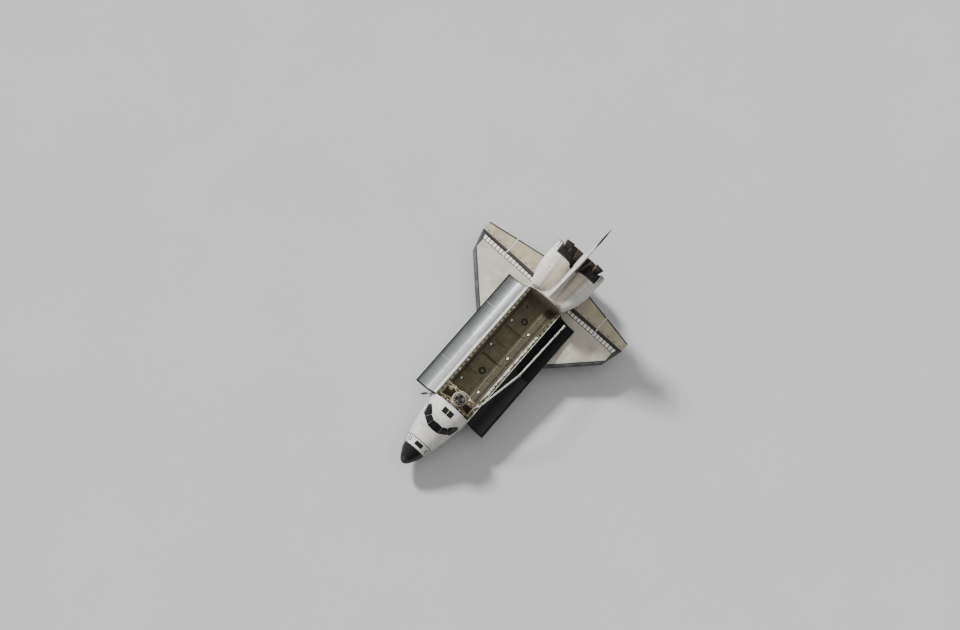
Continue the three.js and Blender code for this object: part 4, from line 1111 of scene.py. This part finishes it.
class ORBITER_OT_engines(bpy.types.Operator):
    """Cooling ribs, hoops, feed lines and rims on the five engine bells"""
    bl_idname = "orbiter.engines"
    bl_label = "Engines"

    def execute(self, context):
        for body, (gimbal, tilt, toe, length, exit_radius) in BELLS.items():
            large = length > 100
            base, axis = at(*gimbal), thrust_line(tilt, toe)
            turn = towards(axis)
            length, exit_radius = length * INCH, exit_radius * INCH

            def round_bell(angle, radius, height):
                return base + turn @ Vector((radius * cos(angle), radius * sin(angle), height))

            def on_bell(share, angle, lift):
                return round_bell(angle, bell_radius(share) * exit_radius + lift, share * length)

            rib = tube([on_bell(share, 0, 0.004) for _, share in BELL_WALL], 0.016)
            count = 44 if large else 22
            settle(spread(rib, [spin_about(base, axis, 360 * k / count) for k in range(count)]),
                   f"{body}_ribs", "rib_metal", body)
            settle([loop(lambda a: on_bell(share, a, 0.012), 12, 0.028) for share in (
                (0.42, 0.5, 0.58, 0.66, 0.74, 0.82, 0.9, 0.97) if large
                else (0.5, 0.7, 0.88, 0.97))], f"{body}_hoops", "dark_metal", body)
            lines = [tube([on_bell(share, radians(start + move), lift) for share, move, lift in (
                (0.29, 0, 0.1), (0.42, 0, 0.07), (0.6, 3, 0.06), (0.78, 5, 0.055),
                (0.9, 6, 0.05))], 0.045) for start in ((40, 160, 280) if large else (90,))]
            lines.append(turned([(bell_radius(share) * exit_radius + lift, height * length)
                                 for share, lift, height in (
                                     (0.28, 0.02, 0.28), (0.28, 0.13, 0.3), (0.33, 0.12, 0.33),
                                     (0.34, 0.02, 0.345))], base, axis, 26))
            settle(lines, f"{body}_lines", "bare_metal", body)
            wall = exit_radius - (0.075 if large else 0.055)
            settle([loop(lambda a: round_bell(a, radius * wall, height * length), 12, 0.014)
                    for radius, height in ((1, 0.985), (0.93, 0.88), (0.79, 0.72))],
                   f"{body}_inner_rings", "rib_metal", body)
        return {"FINISHED"}


class ORBITER_OT_tail(bpy.types.Operator):
    """Thruster mouths, pod seams, fin details and the heat shield round the engines"""
    bl_idname = "orbiter.tail"
    bl_label = "Tail"

    def execute(self, context):
        for name, side in SIDES:
            pod = f"manoeuvring_pod_{name}"
            spots = []
            for station in (1528, 1541, 1554):
                spots += [above(pod, station, side * out, POD_HIGH) for out in (122, 134)]
                spots += [beside(pod, station, level, side) for level in (472, 486)]
            behind = [hit(pod, at(BEHIND, side * out, level), -AFT)
                      for level in (478, 497) for out in (119, 132)]
            settle(nozzle_cups(spots, 0.085) + nozzle_cups(behind, 0.08),
                   f"pod_thrusters_{name}", "dark_metal")
            settle([tube(girdle(pod, station, (side * 86, 475), range(-95, 96, 10), 0.004), 0.011)
                    for station in (1352, 1400, 1452, 1508)], f"pod_seams_{name}", "seam_grey")
            settle([plate(above(pod, station, side * out, POD_HIGH), 0.01, (0.3, 0.2, 0.03), 0.008,
                          0.03, -0.012)
                    for station, out in ((1420, 60), (1420, 100), (1478, 60), (1478, 108))],
                   f"pod_covers_{name}", "white_blanket")

            # Both ends of the fin's seams move aft with the level, as its edges do
            seams = []
            for level in (560, 640, 700, 760):
                front, back = 1309 + (level - 496) * 0.88, 1500 + (level - 605) * 0.62
                spots = [beside("fin", front + (back - front) * share, level, side)
                         for share in (0.06, 0.3, 0.6, 0.9)]
                seams.append(tube([lifted(spot, 0.003) for spot in spots], 0.01))
            settle(seams, f"fin_seams_{name}", "seam_grey")
            settle([plate(beside("fin", 1512 + (level - 605) * 0.623, level, side), 0.012,
                          (0.3, 0.2, 0.03), 0.01, 0.03, 0.01)
                    for level in (625, 665, 705, 745, 780)], f"rudder_hinge_covers_{name}",
                   "paint_white")
        settle([turned([(0.98, 1.17), (1.1, 1.1), (1.3, 1.05), (1.33, 1.12), (1.14, 1.24),
                        (1.0, 1.27)], at(*gimbal), thrust_line(tilt, toe), 36)
                for gimbal, tilt, toe, length, _ in BELLS.values() if length > 100],
               "engine_shield_rings", "white_blanket")
        return {"FINISHED"}


# ---- nose and cabin
# Windshield panes on one side, as (station, out) corners, and the roof window
PANES = [[(449, 3), (451, 30), (475, 27), (475, 3)], [(454, 37), (470, 63), (489, 51), (479, 33)],
         [(477, 70), (513, 88), (521, 77), (495, 58)], [(539, 5), (539, 26), (560, 26), (560, 5)]]


def cabin_point(side, spot, lift):
    """A point over the cabin's roof at a (station, out) spot."""
    return lifted(above("forward_fuselage", spot.x, side * spot.y), lift)


# How far in inches a window's trim runs outside the pane, and its radius in metres
TRIM_GAP, TRIM_RADIUS = 2.2, 0.03


def window_trim(side, corners):
    """A closed trim on the cabin's roof, just outside a pane's outline."""
    corners = [Vector(corner) for corner in corners]
    middle = sum(corners, Vector((0, 0))) / len(corners)
    grown = [middle + (corner - middle) * (1 + TRIM_GAP / (corner - middle).length)
             for corner in corners]
    return tube([cabin_point(side, first.lerp(second, k / 4), TRIM_RADIUS * 0.4)
                 for first, second in zip(grown, grown[1:] + grown[:1]) for k in range(4)],
                TRIM_RADIUS, True)


# The crew hatch's middle and its rim's radius
HATCH_AT, HATCH_LEVEL, HATCH_RADIUS = 512, 350, 18.6


def on_hatch(along, up):
    """A spot on the crew hatch, measured from its middle."""
    return beside("crew_hatch", HATCH_AT + along, HATCH_LEVEL + up, -1)


def hatch_edge(angle):
    """A point on the crew hatch's rim."""
    return lifted(on_hatch(HATCH_RADIUS * cos(angle), HATCH_RADIUS * sin(angle)), 0.004)


class ORBITER_OT_nose(bpy.types.Operator):
    """Window trims, thruster mouths, hatch trim, probes and vents of the nose and cabin"""
    bl_idname = "orbiter.nose"
    bl_label = "Nose and cabin"

    def execute(self, context):
        module = "forward_thruster_module"
        settle([window_trim(side, pane) for _, side in SIDES for pane in PANES], "window_trims",
               "dark_metal")
        for name, side in SIDES:
            settle([tube([cabin_point(side, Vector(first).lerp(Vector(second), share), 0.01)
                          for share in (0, 0.33, 0.66, 1)], 0.035)
                    for first, second in (((450, 33.5), (478, 30)), ((473, 66), (492, 54.5)))],
                   f"window_posts_{name}", "seam_grey")
        settle(nozzle_cups([above(module, 348, out) for out in (-15, 0, 15)], 0.11)
               + nozzle_cups([beside(module, station, level, side) for _, side in SIDES
                              for station, level in ((337, 374), (348, 376), (359, 378),
                                                     (343, 388), (354, 390))], 0.1),
               "nose_thrusters", "dark_metal")
        settle([loop(hatch_edge, 15, 0.016),
                turned([(0.1, -0.01), (0.14, -0.01), (0.17, 0.012), (0.14, 0.024), (0.11, 0.01)],
                       *on_hatch(0, 4), 24),
                plate(on_hatch(0, -9), 0.008, (0.16, 0.08, 0.02), 0.006, 0.015, -0.006)],
               "hatch_trim", "dark_metal", "crew_hatch")
        for name, side in SIDES:
            settle([plate(beside("forward_fuselage", station, level, side), 0.006,
                          (wide, high, 0.02), 0.006, 0.03, 0.008)
                    for station, level, wide, high in ((402, 414, 0.3, 0.34), (420, 372, 0.2, 0.36),
                                                       (560, 372, 0.5, 0.3), (452, 352, 0.24, 0.24))],
                   f"nose_plates_{name}", "paint_white")
            place, normal = beside(module, 331, 374, side)
            settle(turned([(0.002, 0.3), (0.02, 0.26), (0.045, 0.0), (0.05, -0.04), (0.002, -0.04)],
                          place, normal - AFT, 14), f"air_probe_{name}", "bare_metal")
        settle([tube(girdle("forward_fuselage", station, (0, 385), range(-105, 106, 10)), 0.009)
                for station in (404, 436, 532)], "cabin_seams", "seam_grey")
        return {"FINISHED"}


# ---- landing gear
# Wheels: station, buttock line, waterline, then radius, width and track in metres
WHEELS = {"nose_wheels": (383, 0, 237, 0.405, 0.22, 0.56),
          "main_wheels_port": (1173, -136, 191, 0.565, 0.41, 0.9),
          "main_wheels_starboard": (1173, 136, 191, 0.565, 0.41, 0.9)}


class ORBITER_OT_gear(bpy.types.Operator):
    """Hubs, brakes, torque links, hoses and lamps of the landing gear"""
    bl_idname = "orbiter.gear"
    bl_label = "Landing gear"

    def execute(self, context):
        for body, (station, out, level, radius, width, track) in WHEELS.items():
            hubs = []
            for side in (-1, 1):
                outward = Vector((0, side, 0))
                inner, face = (at(station, out, level) + outward * (track + reach) / 2
                               for reach in (-width, width))
                bolt = turned([(0.004, 0.0), (0.016, 0.0), (0.016, 0.03), (0.004, 0.034)],
                              face + Vector((radius * 0.33, 0, 0)), outward, 8)
                hubs += [turned([(0.02, -0.02), (radius * 0.3, -0.02), (radius * 0.42, 0.0),
                                 (radius * 0.44, 0.02), (radius * 0.36, 0.012),
                                 (radius * 0.24, 0.02), (radius * 0.2, 0.05), (0.02, 0.055)],
                                face, outward, 26),
                         spread(bolt, [spin_about(face, "Y", 30 * k) for k in range(12)]),
                         turned([(radius * 0.25, 0.0), (radius * 0.46, 0.0),
                                 (radius * 0.44, -0.03), (radius * 0.25, -0.03)],
                                inner, outward, 22)]
            settle(hubs, f"{body}_hubs", "bare_metal", body)
        for name, side in SIDES:
            out = 136 * side
            settle([bar(0.05, (1160, out, 222), (1150, out, 232), (1161, out, 243)),
                    block(at(1166, out, 243), (0.3, 0.2, 0.1)),
                    block(at(1167, out, 214), (0.26, 0.18, 0.08))], f"main_torque_links_{name}",
                   "leg_metal")
            settle([bar(0.018, (1177, beside_leg, 280), (1179, beside_leg, 250),
                        (1178, beside_leg, 222), (1174, beside_leg, 204))
                    for beside_leg in (out - 4.2, out + 4.2)], f"main_hoses_{name}", "dark_metal")
            settle([collar(0.17, 0.2, 0.04, at(1173, out, level), UP, 20)
                    for level in (226, 240, 256)], f"main_leg_collars_{name}", "bare_metal")
            settle([bar(0.03, (station, side * 169.7, 276), (station, side * 171, 250),
                        (station, side * 173.2, 226)) for station in range(1118, 1226, 15)],
                   f"main_door_ribs_{name}", "leg_metal")
        settle([turned([(0.01, -0.08), (0.06, -0.08), (0.1, 0.0), (0.085, 0.012), (0.01, 0.0)],
                       at(379, out, 262), along((-1, 0, 0.05)), 18) for out in (-6, 6)],
               "nose_gear_lamps", "lamp_white", "nose_gear_fork")
        settle([bar(0.025, (379, -6, 262), (383, 0, 262), (379, 6, 262)),
                bar(0.032, (378, 0, 258), (370, 0, 250), (379, 0, 242)),
                bar(0.012, (386, 3, 262), (388, 3, 250), (386, 3, 240)),
                collar(0.075, 0.11, 0.05, at(383, 0, 256), UP, 18)], "nose_gear_links",
               "leg_metal", "nose_gear_fork")
        return {"FINISHED"}


# ---- the handling arm, as flown: where its foot stands, its angles and its lengths in metres
ARM_FOOT = (679.5, -91.496, 419.252)
ARM_ROLL, ARM_YAW, ARM_PITCH, ARM_ELBOW = (radians(a) for a in (19.48, 4.6, 17.5, 24.6))
ARM_RISE, ARM_UPPER, ARM_LOWER, ARM_WRIST_A, ARM_WRIST_B, ARM_HAND = (
    0.648, 6.4, 7.061, 0.457, 0.762, 0.66)


class ORBITER_OT_arm(bpy.types.Operator):
    """Bands, cables, cameras and the grapple ring of the handling arm"""
    bl_idname = "orbiter.arm"
    bl_label = "Handling arm"

    def execute(self, context):
        up = along((0, -sin(ARM_ROLL), cos(ARM_ROLL)))
        aft = AFT * cos(ARM_YAW) + along((0, -cos(ARM_ROLL), -sin(ARM_ROLL))) * sin(ARM_YAW)
        side = up.cross(aft).normalized()
        bend = ARM_PITCH - ARM_ELBOW
        upper = aft * cos(ARM_PITCH) + up * sin(ARM_PITCH)
        lower = aft * cos(bend) + up * sin(bend)
        lift = up * cos(bend) - aft * sin(bend)
        foot = at(*ARM_FOOT)
        shoulder = foot + up * ARM_RISE
        elbow = shoulder + upper * ARM_UPPER
        wrist = elbow + lower * (ARM_LOWER + ARM_WRIST_A)
        hand = wrist + lower * ARM_WRIST_B
        for body, start, line, first, last, radius in (
                ("arm_upper", shoulder, upper, 0.3, 6.1, 0.128),
                ("arm_lower", elbow, lower, 0.32, 6.8, 0.12)):
            reach = line * (last - first)
            band = collar(radius - 0.01, radius + 0.008, 0.02, start + line * first, line, 16)
            settle(spread(band, [Matrix.Translation(reach * k / 13) for k in range(14)]),
                   f"{body}_bands", "seam_grey", body)
            settle(tube([start + line * first + reach * k / 20
                         + side * (radius + 0.012) * cos(0.3) + up * 0.02 * sin(k * 1.3)
                         for k in range(21)], 0.014), f"{body}_cable", "dark_metal", body)
            settle([turned([(radius, -0.1), (radius + 0.012, -0.08), (radius + 0.012, 0.08),
                            (radius, 0.1)], start + line * place, line, 20)
                    for place in (first + 0.16, last - 0.14)], f"{body}_collars", "bare_metal",
                   body)
        mount = elbow - upper * 0.5
        settle([block(mount + up * 0.2, (0.13, 0.13, 0.22), towards(upper), 0.015, 0.02, 0.02),
                tube([mount + up * 0.1, mount + up * 0.2], 0.03)], "elbow_camera", "bare_metal",
               "arm_upper")
        mount = wrist + lift * 0.17
        settle([block(mount + lower * 0.42, (0.12, 0.12, 0.2), towards(lower), 0.015, 0.02, 0.02),
                turned([(0.01, 0.0), (0.05, 0.0), (0.06, 0.05), (0.05, 0.055), (0.01, 0.03)],
                       mount + lower * 0.53, lower, 16)], "wrist_camera", "dark_metal",
               "arm_wrist_yaw")
        settle([turned([(0.125, 0.0), (0.162, 0.0), (0.164, 0.05), (0.158, 0.06), (0.125, 0.058)],
                       hand + lower * (ARM_HAND - 0.05), lower, 24),
                collar(0.156, 0.163, 0.03, hand + lower * 0.37, lower, 24)], "hand_rims",
               "dark_metal", "arm_hand")
        settle(block(hand + lower * 0.5 + lift * 0.17, (0.05, 0.3, 0.04), towards(lift, aft), 0.01),
               "hand_rail", "bare_metal", "arm_hand")
        settle(turned([(0.1, 0.0), (0.16, 0.0), (0.16, 0.06), (0.13, 0.09), (0.1, 0.09)],
                      foot + up * 0.06, up, 20), "arm_base_collar", "bare_metal", "arm_foot")
        return {"FINISHED"}


class ORBITER_OT_outside(bpy.types.Operator):
    """Vent doors, umbilical plates, elevon hinge covers and the dish's ribs"""
    bl_idname = "orbiter.outside"
    bl_label = "Outside fittings"

    def execute(self, context):
        for name, side in SIDES:
            vent = plate(beside("mid_fuselage", 655, 372, side), 0.006, (0.34, 0.5, 0.02), 0.006,
                         0.04, -0.01)
            settle(spread(vent, [shift(x) for x in (0, 92, 190, 305, 420, 528)]),
                   f"vent_doors_{name}", "dark_metal")
            settle([plate(beside("aft_fuselage", station, level, side), 0.01, (wide, high, 0.03),
                          0.01, 0.06, 0.012)
                    for station, level, wide, high in ((1390, 372, 0.7, 0.5), (1455, 352, 0.9, 0.8),
                                                       (1345, 398, 0.4, 0.3))],
                   f"umbilical_plates_{name}", "paint_white")
            for part, outs in (("inboard", (150, 190, 230, 270)), ("outboard", (325, 365, 405, 440))):
                body = f"elevon_{part}_{name}"
                settle([plate(above(body, 1404, side * out), 0.008, (0.14, 0.34, 0.03), 0.008)
                        for out in outs], f"{body}_covers", "seam_grey", body)
        centre = at(548, 143.5, 400 + 0.935 / INCH)
        facing = along((0.616, 0.788, 0))
        settle([collar(radius - 0.008, radius + 0.008, 0.01, centre + facing * depth, facing, 24)
                for radius, depth in ((0.452, 0.192), (0.33, 0.1), (0.2, 0.05))], "dish_rings",
               "seam_grey", "dish_antenna")
        turn = towards(facing)
        settle([tube([centre + turn @ Vector((0.43 * cos(a), 0.43 * sin(a), 0.18)),
                      centre + facing * 0.27], 0.01)
                for a in (radians(90), radians(210), radians(330))], "dish_feed_struts",
               "bare_metal", "dish_antenna")
        return {"FINISHED"}


# ---- settings, finishes and stage
class OrbiterSettings(bpy.types.PropertyGroup):
    floor_colour: FloatVectorProperty(
        name="Floor colour", description="Colour of the studio floor", subtype="COLOR",
        default=paint("cfd0d0")[:3], size=3)
    floor_reach: FloatProperty(
        name="Floor reach", description="Half the floor's side", default=400.0,
        subtype="DISTANCE", unit="LENGTH")
    key_strength: FloatProperty(
        name="Key light", description="Strength of the main light from starboard", default=4.3)


class ORBITER_OT_finishes(bpy.types.Operator):
    """Make the finishes and dress every solid"""
    bl_idname = "orbiter.finishes"
    bl_label = "Finishes and skins"

    def execute(self, context):
        make_finishes()
        for node, solid in NODES.items():
            if not solid.material_slots:
                solid.data.materials.append(None)
            for slot in solid.material_slots:
                slot.material = FINISHES[DRESS[node][0]]
            smooth_copy(node)
        return {"FINISHED"}


# The photograph's view: where the camera stands on the drawing, its right, up and back, and its
# focal length in pixels of a picture that is PHOTO_WIDTH wide
CAMERA_AT = (-798.08, 445.73, 10242.0)
CAMERA_AXES = ((0.64989146, -0.74699687, 0.14013124), (0.73767388, 0.66435055, 0.12031458),
               (-0.18297088, 0.02517974, 0.98279583))
FOCAL_PIXELS = 2022.72
PHOTO_WIDTH = 960
SENSOR = 36.0


def sun(name, strength, spread_degrees, aim):
    """A sun lamp that shines along aim."""
    bpy.ops.object.light_add(type="SUN")
    lamp = bpy.context.object
    lamp.name = name
    lamp.data.energy = strength
    lamp.data.angle = radians(spread_degrees)
    lamp.rotation_euler = aim.to_track_quat("-Z", "Y").to_euler()


class ORBITER_OT_stage(bpy.types.Operator):
    """Set the floor, the lights and the camera"""
    bl_idname = "orbiter.stage"
    bl_label = "Stage"

    def execute(self, context):
        settings = context.scene.orbiter_settings
        pick_only()
        bpy.ops.mesh.primitive_grid_add(x_subdivisions=4, y_subdivisions=4,
                                        size=2 * settings.floor_reach)
        floor = bpy.context.object
        floor.name = "floor"
        d = new_finish("studio_floor", Specular_IOR_Level=0.2)
        cloud = noise_of(d.tree, add_node(d.tree, "ShaderNodeTexCoord").outputs["Object"], 0.05, 3)
        d.finish(cloud.ramp((0.3, (*settings.floor_colour, 1)),
                            (0.7, (*(c * 0.97 for c in settings.floor_colour), 1))), 0.85)
        floor.data.materials.append(FINISHES["studio_floor"])

        sun("key_light", settings.key_strength, 8, along((-0.35, -1.3, -1.0)))
        sun("fill_light", 0.7, 60, Vector((-0.12, 0.16, -1.0)))
        world = context.scene.world = bpy.data.worlds.new("studio")
        world.use_nodes = True
        tree = world.node_tree
        _, sideways, _ = parts_of(tree, add_node(tree, "ShaderNodeTexCoord").outputs["Generated"])
        sky = (sideways * 0.5 + 0.5).ramp((0.3, (0.1, 0.1, 0.1, 1)), (0.75, (0.8, 0.8, 0.8, 1)))
        feed(tree.nodes["Background"], "Color", sky)
        feed(tree.nodes["Background"], "Strength", 0.8)

        bpy.ops.object.camera_add(location=at(*CAMERA_AT))
        camera = context.scene.camera = bpy.context.object
        camera.name = "photo_view"
        axes = Matrix([TURN @ Vector(axis) for axis in CAMERA_AXES]).transposed()
        camera.matrix_world = Matrix.Translation(at(*CAMERA_AT)) @ axes.to_4x4()
        camera.data.sensor_width = SENSOR
        camera.data.lens = FOCAL_PIXELS * SENSOR / PHOTO_WIDTH
        camera.data.clip_start = 1.0
        camera.data.clip_end = 2000.0
        camera.data.dof.use_dof = False
        return {"FINISHED"}


# ---- the add-on
STEPS = ("finishes", "bay", "bulkheads", "sills", "doors", "docking", "engines", "tail",
         "nose", "gear", "arm", "outside", "stage")


class ORBITER_PT_sidebar(bpy.types.Panel):
    bl_label = "Orbiter"
    bl_idname = "ORBITER_PT_sidebar"
    bl_space_type = "VIEW_3D"
    bl_region_type = "UI"
    bl_category = "Orbiter"

    def draw(self, context):
        settings = context.scene.orbiter_settings
        for name in OrbiterSettings.__annotations__:
            self.layout.prop(settings, name)
        for step in STEPS:
            self.layout.operator(f"orbiter.{step}")


CLASSES = (OrbiterSettings, ORBITER_OT_finishes, ORBITER_OT_bay, ORBITER_OT_bulkheads,
           ORBITER_OT_sills, ORBITER_OT_doors, ORBITER_OT_docking, ORBITER_OT_engines,
           ORBITER_OT_tail, ORBITER_OT_nose, ORBITER_OT_gear, ORBITER_OT_arm,
           ORBITER_OT_outside, ORBITER_OT_stage, ORBITER_PT_sidebar)


def register():
    for kind in CLASSES:
        bpy.utils.register_class(kind)
    bpy.types.Scene.orbiter_settings = PointerProperty(type=OrbiterSettings)


def unregister():
    del bpy.types.Scene.orbiter_settings
    for kind in reversed(CLASSES):
        bpy.utils.unregister_class(kind)


def main():
    register()
    for step in STEPS:
        getattr(bpy.ops.orbiter, step)()


if __name__ == "__main__":
    main()
